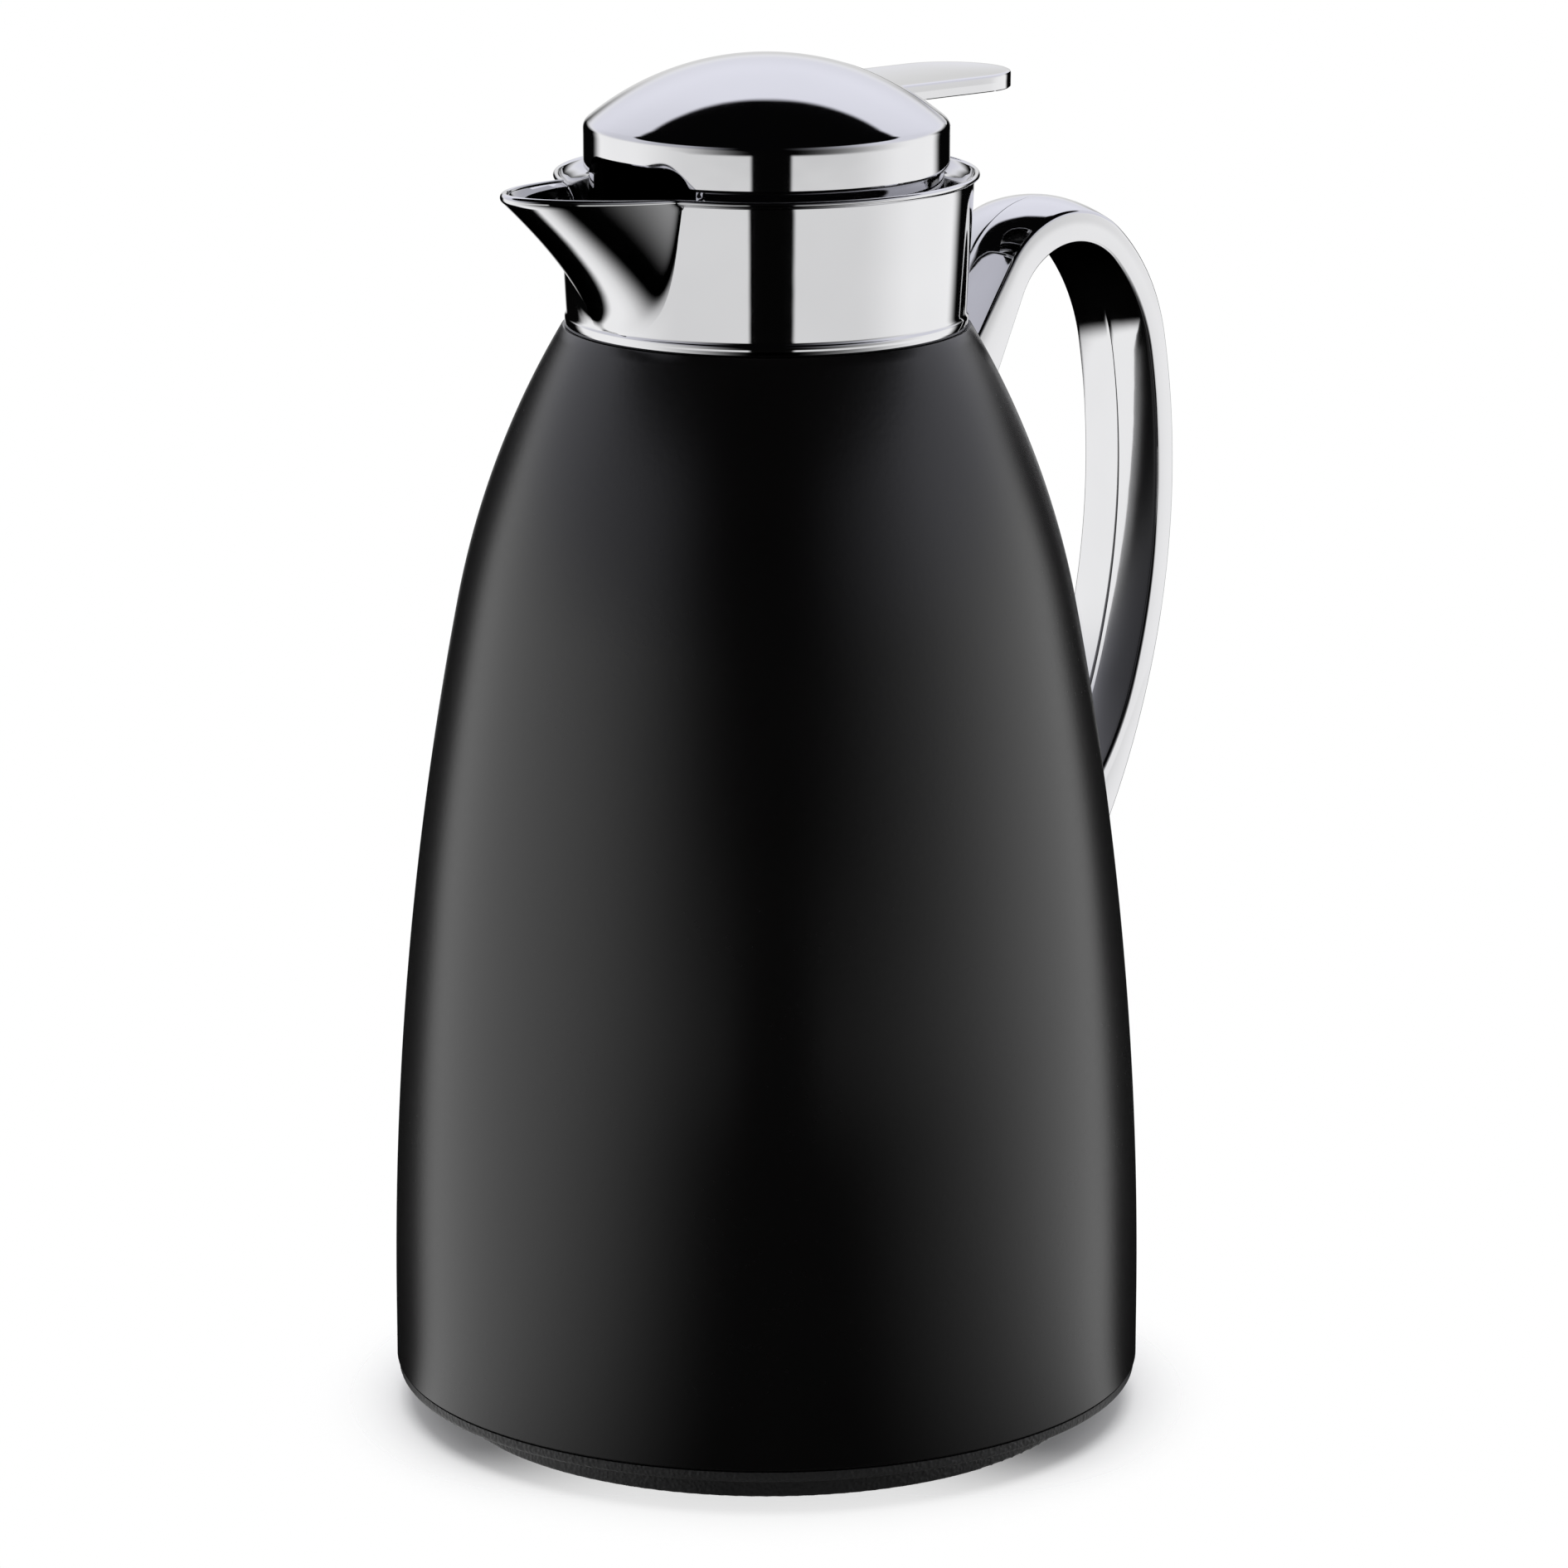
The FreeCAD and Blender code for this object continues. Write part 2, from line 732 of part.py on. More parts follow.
def neck_insert():
    skirt_inner = jug.flask_neck_radius + jug.insert_skirt_clearance
    skirt_outer = skirt_inner + jug.insert_wall
    shoulder_radius = collar_inner_radius - jug.fit_clearance
    shoulder_bottom = flange_bottom - jug.insert_shoulder_height
    skirt_bottom = insert_bottom - jug.insert_skirt_depth
    body = lathe("insert_turned", [
        (jug.insert_throat_radius, insert_bottom),
        (skirt_inner, insert_bottom),
        (skirt_inner, skirt_bottom),
        (skirt_outer, skirt_bottom),
        (skirt_outer, shoulder_bottom),
        (shoulder_radius, shoulder_bottom),
        (shoulder_radius, flange_bottom),
        (insert_outer_radius, flange_bottom),
        (insert_outer_radius, insert_top),
        (jug.insert_bore_radius, insert_top),
        (jug.insert_bore_radius, ledge_height),
        (jug.insert_throat_radius, ledge_height),
    ])
    lug_tip = jug.plug_radius + jug.lid_clearance
    lug_root = jug.insert_bore_radius + jug.thread_root
    lug_bottom = rib_start + jug.thread_lead / 2 + jug.thread_rib_height + jug.thread_gap
    lug = outline(body, "insert_lug", "XZ_Plane", [
        (lug_tip, lug_bottom),
        (lug_root, lug_bottom),
        (lug_root, lug_bottom + jug.thread_rib_height),
        (lug_tip, lug_bottom + jug.thread_rib_height),
    ])
    helix_rib(body, lug, jug.thread_lead, jug.thread_lug_rise, 2)
    return finish(body, "neck_insert")


# Collar with spout
def spout_section(height_share, inset, lift=0.0):
    """Parabolic outline of the spout at a share of its height, its lip rising to the tip."""
    foot = jug.spout_foot_height.number
    root = jug.spout_root_radius.number
    rise = jug.spout_lip_height.number - foot
    out = jug.spout_reach.number - jug.collar_waist_radius.number
    width = jug.spout_half_width.number * height_share ** SPOUT_SWELL_SHARE - inset
    reach = jug.collar_waist_radius.number + out * height_share - inset * math.sqrt(2)
    tip_height = foot + rise * height_share + lift
    root_height = tip_height
    if height_share == 1.0:
        root_height = jug.rim_height.number + lift
    curve = Part.BezierCurve()
    curve.setPoles([
        FreeCAD.Vector(-root, width, root_height),
        FreeCAD.Vector(root - 2 * reach, 0, 2 * tip_height - root_height),
        FreeCAD.Vector(-root, -width, root_height),
    ])
    back = Part.LineSegment(curve.EndPoint, curve.StartPoint)
    return Part.Wire([curve.toShape(), back.toShape()])


def spout_collar():
    flare_foot = jug.rim_height - jug.collar_flare_height
    roll_height = jug.rim_height - jug.rim_roll
    bead_top = jug.casing_top_height + jug.collar_foot_bead
    spigot_radius = jug.casing_top_radius - jug.casing_lip_wall - jug.fit_clearance
    spigot_inner = spigot_radius - jug.collar_wall
    spigot_bottom = jug.casing_top_height - jug.collar_spigot_depth
    snap_top = spigot_bottom + jug.collar_spigot_depth / 2
    mouth_inner = jug.collar_mouth_radius - jug.collar_wall
    rim_inner = jug.rim_radius - 2 * jug.rim_roll
    wall = lathe("collar_wall_turned", [
        (spigot_inner, spigot_bottom),
        (spigot_radius, spigot_bottom),
        (spigot_radius + jug.collar_snap, (spigot_bottom + snap_top) / 2),
        (spigot_radius, snap_top),
        (spigot_radius, jug.casing_top_height),
        (jug.collar_foot_radius, jug.casing_top_height),
        (jug.collar_foot_radius, bead_top),
        (jug.collar_waist_radius, bead_top),
        (jug.collar_mouth_radius, flare_foot),
        (jug.rim_radius, roll_height, RIM_FLARE_SHARE),
        (jug.rim_radius - jug.rim_roll, jug.rim_height, QUARTER_TURN_SHARE),
        (rim_inner, roll_height, QUARTER_TURN_SHARE),
        (mouth_inner, flare_foot),
        (collar_inner_radius, jug.trough_floor_height),
        (jug.trough_inner_radius, jug.trough_floor_height),
        (jug.trough_inner_radius, flange_bottom),
        (collar_inner_radius, flange_bottom),
        (collar_inner_radius, bead_top),
        (spigot_inner, bead_top),
    ])
    mouth_top = jug.spout_lip_height + jug.cut_overrun
    hollow = lathe("collar_hollow", [
        (0, spigot_bottom),
        (collar_inner_radius, spigot_bottom),
        (collar_inner_radius, jug.trough_floor_height),
        (mouth_inner, flare_foot),
        (rim_inner, roll_height),
        (rim_inner, mouth_top),
        (0, mouth_top),
    ])
    sections = [spout_section(share, 0) for share in SPOUT_SECTION_SHARES]
    spout = solid("spout_outside", Part.makeLoft(sections, True))
    floor_rise = jug.trough_floor_height - jug.spout_foot_height
    floor_share = (floor_rise / (jug.spout_lip_height - jug.spout_foot_height)).number
    inset = jug.spout_wall.number
    inner = [spout_section(share, inset) for share in (floor_share,) + CHANNEL_SECTION_SHARES]
    inner.append(spout_section(CHANNEL_SECTION_SHARES[-1], inset, jug.cut_overrun.number))
    channel = solid("spout_channel", Part.makeLoft(inner, True))
    outside = boolean("Cut", "spout_shell", spout, hollow)
    whole = boolean("Fuse", "collar_and_spout", wall, outside)
    return finish(boolean("Cut", "collar_open", whole, channel), "spout_collar")


# Handle
def handle_corners():
    rise = jug.handle_top_height - jug.handle_low_height
    for reach_share, rise_share, bend, carried in HANDLE_OUTLINE_SHARES:
        yield jug.handle_reach * reach_share, jug.handle_low_height + rise * rise_share, bend


def along_x(start, radius, length, side, height):
    """A round bar along +X."""
    foot = FreeCAD.Vector(start, side, height)
    return Part.makeCylinder(radius, length, foot, FreeCAD.Vector(1, 0, 0))


def handle_screw_seat(side, height):
    """Where a screw's head rests inside the casing, and where its tip ends."""
    head = jug.handle_screw_head_radius.number
    inner = casing_radius(height + head) - jug.casing_lip_wall.number
    seat = math.sqrt(inner ** 2 - (abs(side) + head) ** 2) - jug.handle_screw_play.number
    return seat, casing_radius(height) + jug.handle_screw_grip.number


def handle_screws():
    screws = []
    for side, height in handle_screw_places():
        seat, tip = handle_screw_seat(side.number, height.number)
        head = jug.handle_screw_head.number
        shank = along_x(seat, jug.handle_screw_radius.number, tip - seat, side.number, height.number)
        cap = along_x(seat - head, jug.handle_screw_head_radius.number, head, side.number, height.number)
        screws.append(cap.fuse(shank).removeSplitter())
    return finish(solid("screws", Part.makeCompound(screws)), "handle_screws")


def handle_cutters():
    """The casing's outside and the screw holes, which shape the handle's ends."""
    casing = casing_corners(-jug.handle_seat_clearance)
    filled = [(0, jug.casing_foot_height)] + casing + [(0, jug.casing_top_height)]
    envelope = lathe("casing_envelope", filled, "YZ_Plane")
    holes = [envelope]
    for number, (side, height) in enumerate(handle_screw_places()):
        tip = handle_screw_seat(side.number, height.number)[1] + jug.fit_clearance.number
        radius = (jug.handle_screw_radius + jug.fit_clearance).number
        holes.append(solid("handle_hole_%d" % number, along_x(0, radius, tip, side.number, height.number)))
    return joined("handle_cutter", holes)


def handle_half(node, cutter, flipped):
    body = new_body(node + "_strap")
    smooth = [corner[-1] for corner in HANDLE_OUTLINE_SHARES]
    sketch = outline(body, node + "_outline", "XZ_Plane", list(handle_corners()), smooth=smooth)
    strap = raised(body, sketch, jug.handle_width / 2, flipped=flipped)
    side = jug.handle_width.number / 2
    buried = casing_radius(jug.casing_top_height.number)
    outer_edges = []
    for number, edge in enumerate(strap.Shape.Edges, start=1):
        flank = all(abs(abs(corner.Y) - side) < jug.fit_clearance.number for corner in edge.Vertexes)
        upright = abs(edge.tangentAt(edge.FirstParameter).z) > jug.fit_clearance.number
        if flank and upright and edge.BoundBox.XMax > buried:
            outer_edges.append("Edge%d" % number)
    rounded = body.newObject("PartDesign::Fillet", node + "_round")
    rounded.Base = (strap, outer_edges)
    rounded.setExpression("Radius", jug.handle_edge_round.text)
    doc.recompute()
    return finish(boolean("Cut", node + "_fitted", body, cutter), node)


# Lid
dome_rise = jug.lid_apex_height - jug.lid_edge_height
dome_radius = (jug.lid_radius * jug.lid_radius + dome_rise * dome_rise) / (2 * dome_rise)
dome_centre = jug.lid_apex_height - dome_radius
dome_edge_radius = jug.lid_radius - jug.lid_corner_width
skirt_inner_radius = jug.lid_radius - jug.lid_wall


def on_dome(radius, inset):
    """Height of the dome's surface at a radius."""
    ball = dome_radius - inset
    return dome_centre + (ball * ball - radius * radius).root()


def lid_shell(name):
    inner_edge = on_dome(skirt_inner_radius, jug.lid_wall)
    return lathe(name, [
        (jug.lid_radius, jug.lid_skirt_height),
        (jug.lid_radius, jug.lid_edge_height - jug.lid_corner_drop),
        (dome_edge_radius, on_dome(dome_edge_radius, 0), LID_CORNER_SHARE),
        (0, jug.lid_apex_height, dome_radius),
        (0, jug.lid_apex_height - jug.lid_wall),
        (skirt_inner_radius, inner_edge, jug.lid_wall - dome_radius),
        (skirt_inner_radius, jug.lid_skirt_height),
    ])


def seam_post(name, radius, foot):
    """Upright post whose side is the seam between dome front and lever."""
    body = new_body(name)
    sketch = circles(body, name + "_circle", "XY_Plane", [(jug.lid_seam_centre, 0, radius)], foot)
    raised(body, sketch, jug.lid_apex_height - foot + jug.cut_overrun)
    return body


def pour_arch(body, name, foot):
    """Cuts the pour arch through the wall that faces the spout."""
    half = jug.arch_half_width
    shoulder = jug.arch_height - jug.arch_round
    inset = half - jug.arch_round
    sketch = outline(body, name, "YZ_Plane", [
        (-half, foot),
        (half, foot),
        (half, shoulder),
        (inset, jug.arch_height, QUARTER_TURN_SHARE),
        (-inset, jug.arch_height),
        (-half, shoulder, QUARTER_TURN_SHARE),
    ])
    cut_away(body, sketch, jug.lid_radius + jug.cut_overrun)


def lid_cap():
    shell = lid_shell("lid_shell_turned")
    pour_arch(shell, "lid_arch", jug.lid_skirt_height - jug.cut_overrun)
    gap = seam_post("lid_seam_gap", jug.lid_seam_radius, jug.lid_notch_height)
    return finish(boolean("Cut", "lid_front", shell, gap), "lid_cap")


deck_bottom = jug.deck_top_height - jug.deck_height
spigot_fit_radius = skirt_inner_radius - jug.fit_clearance
plug_bottom = plug_shoulder - jug.plug_nose_depth
seat_height = plug_bottom + jug.plug_floor


def stopper_body():
    drum_inner = jug.drum_radius - jug.drum_wall
    drum_inside = jug.drum_floor_height + jug.drum_floor
    drum_top = jug.lid_skirt_height - jug.lid_clearance
    body = lathe("stopper_turned", [
        (jug.plug_inlet_radius, plug_bottom),
        (jug.plug_nose_radius, plug_bottom),
        (jug.plug_nose_radius, plug_shoulder),
        (jug.plug_radius, plug_shoulder),
        (jug.plug_radius, jug.drum_floor_height),
        (jug.drum_radius, jug.drum_floor_height),
        (jug.drum_radius, drum_top),
        (spigot_fit_radius, drum_top),
        (spigot_fit_radius, deck_bottom),
        (drum_inner, deck_bottom),
        (drum_inner, drum_inside),
        (jug.plug_bore_radius, drum_inside),
        (jug.plug_bore_radius, seat_height),
        (jug.plug_inlet_radius, seat_height),
    ])
    pour_arch(body, "drum_arch", drum_inside)
    rib_tip = jug.plug_radius + jug.thread_rib_depth
    rib_root = jug.plug_radius - jug.thread_root
    rib = outline(body, "stopper_rib", "XZ_Plane", [
        (rib_root, rib_start),
        (rib_tip, rib_start),
        (rib_tip, rib_start + jug.thread_rib_height),
        (rib_root, rib_start + jug.thread_rib_height),
    ])
    helix_rib(body, rib, jug.thread_lead, jug.thread_rib_rise, 2)
    return finish(body, "stopper_body")


def stopper_gasket():
    inner = jug.plug_nose_radius + jug.fit_clearance
    body = lathe("gasket_turned", [
        (inner, ledge_height),
        (jug.plug_radius, ledge_height),
        (jug.plug_radius, plug_shoulder),
        (inner, plug_shoulder),
    ])
    return finish(body, "stopper_gasket")


pin_bore = jug.pin_radius + jug.fit_clearance


def stopper_deck():
    stem_bore = jug.stem_radius + jug.fit_clearance
    guide_bottom = jug.deck_top_height - jug.guide_drop
    guide_top = jug.deck_top_height + jug.guide_rise
    body = lathe("deck_turned", [
        (stem_bore, guide_bottom),
        (jug.guide_radius, guide_bottom),
        (jug.guide_radius, deck_bottom),
        (spigot_fit_radius, deck_bottom),
        (spigot_fit_radius, jug.deck_top_height),
        (jug.guide_radius, jug.deck_top_height),
        (jug.guide_radius, guide_top),
        (stem_bore, guide_top),
    ])
    left = jug.pivot_reach - jug.ear_radius
    right = jug.pivot_reach + jug.ear_radius
    ear_foot = jug.deck_top_height - jug.deck_height / 2
    ears = outline(body, "deck_ears", "XZ_Plane", [
        (left, ear_foot),
        (right, ear_foot),
        (right, jug.pivot_height),
        (jug.pivot_reach, jug.pivot_height + jug.ear_radius, QUARTER_TURN_SHARE),
        (left, jug.pivot_height, QUARTER_TURN_SHARE),
    ])
    raised(body, ears, 2 * jug.ear_outer, side="Symmetric")
    over = jug.cut_overrun
    gap = outline(body, "deck_ear_gap", "XZ_Plane", [
        (left - over, jug.deck_top_height),
        (right + over, jug.deck_top_height),
        (right + over, jug.pivot_height + jug.ear_radius + over),
        (left - over, jug.pivot_height + jug.ear_radius + over),
    ])
    cut_away(body, gap, 2 * jug.ear_inner, side="Symmetric")
    bore = circles(body, "deck_pin_bore", "XZ_Plane", [(jug.pivot_reach, jug.pivot_height, pin_bore)])
    cut_away(body, bore, 2 * jug.ear_outer + over, side="Symmetric")
    return finish(body, "stopper_deck")


def lever_pin():
    body = new_body("pin_bar")
    sketch = circles(body, "pin_circle", "XZ_Plane", [(jug.pivot_reach, jug.pivot_height, jug.pin_radius)])
    raised(body, sketch, 2 * jug.ear_outer, side="Symmetric")
    return finish(body, "lever_pin")


# Thumb lever
def thumb_lever():
    shell = lid_shell("lever_shell_turned")
    seam_radius = jug.lid_seam_radius - jug.lever_seam_gap
    post = seam_post("lever_seam_post", seam_radius, jug.lever_seam_height)
    crown = boolean("Common", "lever_crown", shell, post)
    paddle = new_body("lever_paddle")
    half = jug.paddle_half_width
    round_start = jug.paddle_reach - half
    plan = outline(paddle, "paddle_plan", "XY_Plane", [
        (jug.paddle_root, -half),
        (round_start, -half),
        (jug.paddle_reach, 0, QUARTER_TURN_SHARE),
        (round_start, half, QUARTER_TURN_SHARE),
        (jug.paddle_root, half),
    ], jug.paddle_top_height - jug.paddle_thickness)
    raised(paddle, plan, jug.paddle_thickness)
    fork = lever_fork()
    whole = joined("lever_whole", [crown, paddle, fork])
    bore = new_body("lever_bore")
    circle = circles(bore, "lever_bore_circle", "XZ_Plane", [(jug.pivot_reach, jug.pivot_height, pin_bore)])
    raised(bore, circle, 2 * jug.ear_outer, side="Symmetric")
    return finish(boolean("Cut", "lever_bored", whole, bore), "thumb_lever")


def lever_fork():
    """Hub on the pin, a web up to the paddle and two arms that reach the stem."""
    body = new_body("lever_fork")
    hub = circles(body, "lever_hub", "XZ_Plane", [(jug.pivot_reach, jug.pivot_height, jug.hub_radius)])
    raised(body, hub, 2 * jug.hub_half_width, side="Symmetric")
    web = outline(body, "lever_web", "XZ_Plane", [
        (jug.pivot_reach - jug.hub_radius, jug.pivot_height),
        (jug.pivot_reach + jug.hub_radius, jug.pivot_height),
        (jug.pivot_reach + jug.hub_radius, jug.paddle_top_height - jug.paddle_thickness / 2),
        (jug.pivot_reach - jug.hub_radius, jug.paddle_top_height - jug.paddle_thickness / 2),
    ])
    raised(body, web, 2 * jug.hub_half_width, side="Symmetric")
    half = jug.fork_height / 2
    arms = outline(body, "lever_arms", "XZ_Plane", [
        (0, jug.pivot_height - half, QUARTER_TURN_SHARE),
        (jug.pivot_reach, jug.pivot_height - half),
        (jug.pivot_reach, jug.pivot_height + half),
        (0, jug.pivot_height + half),
        (-half, jug.pivot_height, QUARTER_TURN_SHARE),
    ])
    raised(body, arms, 2 * jug.fork_half_width, side="Symmetric")
    slot = outline(body, "lever_fork_slot", "XY_Plane", [
        (-jug.fork_height, -jug.fork_gap),
        (jug.fork_slot_reach, -jug.fork_gap),
        (jug.fork_slot_reach, jug.fork_gap),
        (-jug.fork_height, jug.fork_gap),
    ], jug.pivot_height + jug.fork_height)
    cut_away(body, slot, 2 * jug.fork_height)
    return body


# Valve
seal_top = seat_height + jug.valve_seal_height
plunger_top = seal_top + jug.plunger_height
head_bottom = jug.pivot_height + jug.fork_height / 2 + jug.stem_head_gap
head_top = head_bottom + jug.stem_head_height
head_hole = jug.stem_radius + jug.fit_clearance
spigot_hole = jug.stem_spigot_radius + jug.fit_clearance
valve_seal_radius = jug.plunger_radius - jug.valve_seal_inset


def valve_stem():
    spigot_bottom = seat_height + jug.valve_seal_height / 2
    top = head_top + jug.stem_top_clearance
    body = lathe("stem_turned", [
        (0, spigot_bottom),
        (jug.stem_spigot_radius, spigot_bottom),
        (jug.stem_spigot_radius, plunger_top),
        (jug.stem_radius, plunger_top),
        (jug.stem_radius, top),
        (0, top),
    ])
    return finish(body, "valve_stem")


def ring(node, inner, outer, bottom, top):
    body = lathe(node + "_turned", [(inner, bottom), (outer, bottom), (outer, top), (inner, top)])
    return finish(body, node)


def valve_spring():
    """Coil of one wire between the plunger and the deck's guide."""
    foot = plunger_top + jug.spring_wire_radius + jug.fit_clearance
    top = jug.deck_top_height - jug.guide_drop - jug.spring_wire_radius - jug.fit_clearance
    helix = doc.addObject("Part::Helix", "spring_helix")
    helix.setExpression("Pitch", jug.spring_pitch.text)
    helix.setExpression("Height", (top - foot).text)
    helix.setExpression("Radius", jug.spring_radius.text)
    helix.setExpression("Placement.Base.z", foot.text)
    wire = doc.addObject("Part::Circle", "spring_wire")
    wire.setExpression("Radius", jug.spring_wire_radius.text)
    wire.setExpression("Placement.Base.x", jug.spring_radius.text)
    wire.setExpression("Placement.Base.z", foot.text)
    wire.Placement.Rotation = FreeCAD.Rotation(FreeCAD.Vector(1, 0, 0), 90)
    doc.recompute()
    coil = doc.addObject("Part::Sweep", "spring_coil")
    coil.Sections = [wire]
    coil.Spine = (helix, ["Edge%d" % number for number in range(1, len(helix.Shape.Edges) + 1)])
    coil.Solid = True
    coil.Frenet = True
    doc.recompute()
    gap = (jug.spring_pitch - 2 * jug.spring_wire_radius).number
    print("spring: gap between turns %.2f mm" % gap)
    return finish(coil, "valve_spring")


# Assembly
outer_casing()
base_ring()
foot_ring()
base_screw_cap()
flask_liner()
flask_jacket()
flask_cushion()
neck_seal()
neck_insert()
spout_collar()
handle_cutter = handle_cutters()
handle_half("handle_left", handle_cutter, False)
handle_half("handle_right", handle_cutter, True)
handle_screws()
lid_cap()
stopper_body()
stopper_gasket()
stopper_deck()
lever_pin()
thumb_lever()
valve_stem()
ring("stem_head", head_hole, jug.stem_head_radius, head_bottom, head_top)
ring("valve_plunger", spigot_hole, jug.plunger_radius, seal_top, plunger_top)
ring("valve_seal", spigot_hole, valve_seal_radius, seat_height, seal_top)
valve_spring()

# Checks and writing
doc.recompute()
for item in doc.Objects:
    if "Invalid" in item.State or "Error" in item.State:
        raise RuntimeError("%s failed: %s" % (item.Name, item.State))
os.makedirs("parts", exist_ok=True)
for piece in pieces:
    if piece.Shape.isNull() or not piece.Shape.isValid():
        raise RuntimeError(piece.Label + " has no valid shape")
for piece in pieces:
    piece.Shape.exportStep(os.path.join("parts", piece.Label + ".step"))
    print("%-16s %d solid(s) %10.1f mm3" % (piece.Label, len(piece.Shape.Solids), piece.Shape.Volume))
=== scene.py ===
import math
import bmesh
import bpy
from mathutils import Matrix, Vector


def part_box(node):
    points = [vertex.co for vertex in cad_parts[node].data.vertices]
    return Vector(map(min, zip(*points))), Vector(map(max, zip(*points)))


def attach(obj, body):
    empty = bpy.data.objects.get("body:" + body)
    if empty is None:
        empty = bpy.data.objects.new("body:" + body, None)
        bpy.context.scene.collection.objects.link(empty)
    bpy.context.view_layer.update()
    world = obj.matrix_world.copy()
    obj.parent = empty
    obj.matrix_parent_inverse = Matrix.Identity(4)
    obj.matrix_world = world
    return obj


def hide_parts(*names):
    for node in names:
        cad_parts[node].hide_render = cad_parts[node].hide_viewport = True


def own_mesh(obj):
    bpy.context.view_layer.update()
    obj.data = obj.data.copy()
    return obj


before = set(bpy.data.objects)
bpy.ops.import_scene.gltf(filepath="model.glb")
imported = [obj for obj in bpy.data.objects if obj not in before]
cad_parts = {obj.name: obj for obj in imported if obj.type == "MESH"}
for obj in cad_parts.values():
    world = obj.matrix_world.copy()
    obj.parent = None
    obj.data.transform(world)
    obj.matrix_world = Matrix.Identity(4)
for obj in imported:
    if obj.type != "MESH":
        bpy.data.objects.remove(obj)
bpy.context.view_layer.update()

# %% [markdown]
# # A thermal jug
# The jug is a black lacquered bell with a chromed collar, spout, loop handle and screw lid.
# A thumb lever behind the lid lifts a valve inside it.
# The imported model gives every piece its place. Here each visible piece gets its final surface and finish.
# Bent chrome shows every facet, so the polished pieces are made again as smooth quad meshes.

MILLIMETRE = 0.001

# %% [markdown]
# ## Writing node trees as sums
# Node trees are easier to read as sums and products than as lists of links.
# The class below wraps one socket. An operator adds a Math node, and `node` adds any other node.

# %% A socket that can be reckoned with
class Wire:
    """A socket in a node tree that sums and products can be written with."""

    def __init__(self, tree, socket=None):
        self.tree = tree
        self.socket = socket

    def node(self, kind, sockets=(), output=0, **settings):
        """Adds a node: its settings first, then the values or links of its sockets."""
        made = self.tree.nodes.new(kind)
        for name, value in settings.items():
            setattr(made, name, value)
        for name, value in dict(sockets).items():
            if isinstance(value, Wire):
                self.tree.links.new(value.socket, made.inputs[name])
            else:
                made.inputs[name].default_value = value
        return Wire(self.tree, made.outputs[output])

    def maths(self, operation, *values):
        return self.node("ShaderNodeMath", enumerate(values), operation=operation)

    def into(self, node, socket):
        self.tree.links.new(self.socket, node.inputs[socket])

    def __add__(self, other):
        return self.maths("ADD", self, other)

    def __sub__(self, other):
        return self.maths("SUBTRACT", self, other)

    def __rsub__(self, other):
        return self.maths("SUBTRACT", other, self)

    def __mul__(self, other):
        return self.maths("MULTIPLY", self, other)

    def __truediv__(self, other):
        return self.maths("DIVIDE", self, other)

    __radd__ = __add__
    __rmul__ = __mul__


print("sockets can be added, taken away, multiplied and divided")

# %% [markdown]
# ## Finishes
# No real surface is one flat colour. Lacquer has a faint orange peel, plating is slightly uneven,
# and the moulded base has a fine pebble grain.
# All patterns read Object coordinates in metres, so a pattern's size is its size on the jug.

# %% Helpers for finishes
def new_finish(name, fixed):
    """A material with its shader; fixed holds the values that are the same all over."""
    material = bpy.data.materials.new(name)
    material.use_nodes = True
    shader = material.node_tree.nodes["Principled BSDF"]
    for socket, value in fixed.items():
        shader.inputs[socket].default_value = value
    return material, shader, Wire(material.node_tree)


def grey(level):
    return (level, level, level)


def clouds(tree, size, detail=2.0):
    """Soft random patches of about this size in metres."""
    place = tree.node("ShaderNodeTexCoord", output="Object")
    return tree.node("ShaderNodeTexNoise", {"Vector": place, "Scale": 1 / size, "Detail": detail})


def between(tree, share, first, second):
    """A colour between two greys or tints, by a share from 0 to 1."""
    return tree.node("ShaderNodeMix", {0: share, 6: (*first, 1), 7: (*second, 1)}, 2, data_type="RGBA")


def relief(tree, height, depth):
    """A bump whose height of 1 stands this many metres proud."""
    return tree.node("ShaderNodeBump", {"Height": height, "Distance": depth, "Strength": 1.0})


print("finish helpers ready")

# %% [markdown]
# ### Chrome and lacquer
# Chrome is a metal whose light comes only from what it mirrors, so it gets a mid-grey tint,
# a low roughness with faint patches, and a waviness too shallow to see except in its reflections.
# The lacquer reflects a few percent, widely blurred, over an almost black coat.

# %% Chrome
CHROME_PATCH, CHROME_SMEAR = 0.02, 0.004
CHROME_WAVE, WAVE_DEPTH = 0.012, 0.00002
CHROME_DARK, CHROME_PALE = (0.60, 0.60, 0.61), (0.65, 0.65, 0.66)


def make_chrome():
    material, shader, tree = new_finish("polished_chrome", {"Metallic": 1.0})
    patches = clouds(tree, CHROME_PATCH)
    smear = clouds(tree, CHROME_SMEAR, 4.0)
    between(tree, patches, CHROME_DARK, CHROME_PALE).into(shader, "Base Color")
    (0.03 + 0.03 * smear).into(shader, "Roughness")
    relief(tree, clouds(tree, CHROME_WAVE), WAVE_DEPTH).into(shader, "Normal")
    return material


chrome = make_chrome()
print("made", chrome.name)

# %% Lacquer
LACQUER_PATCH, PEEL_SIZE, PEEL_DEPTH = 0.03, 0.0012, 0.000012
LACQUER_DARK, LACQUER_PALE = (0.0012, 0.0011, 0.0011), (0.0022, 0.0020, 0.0020)


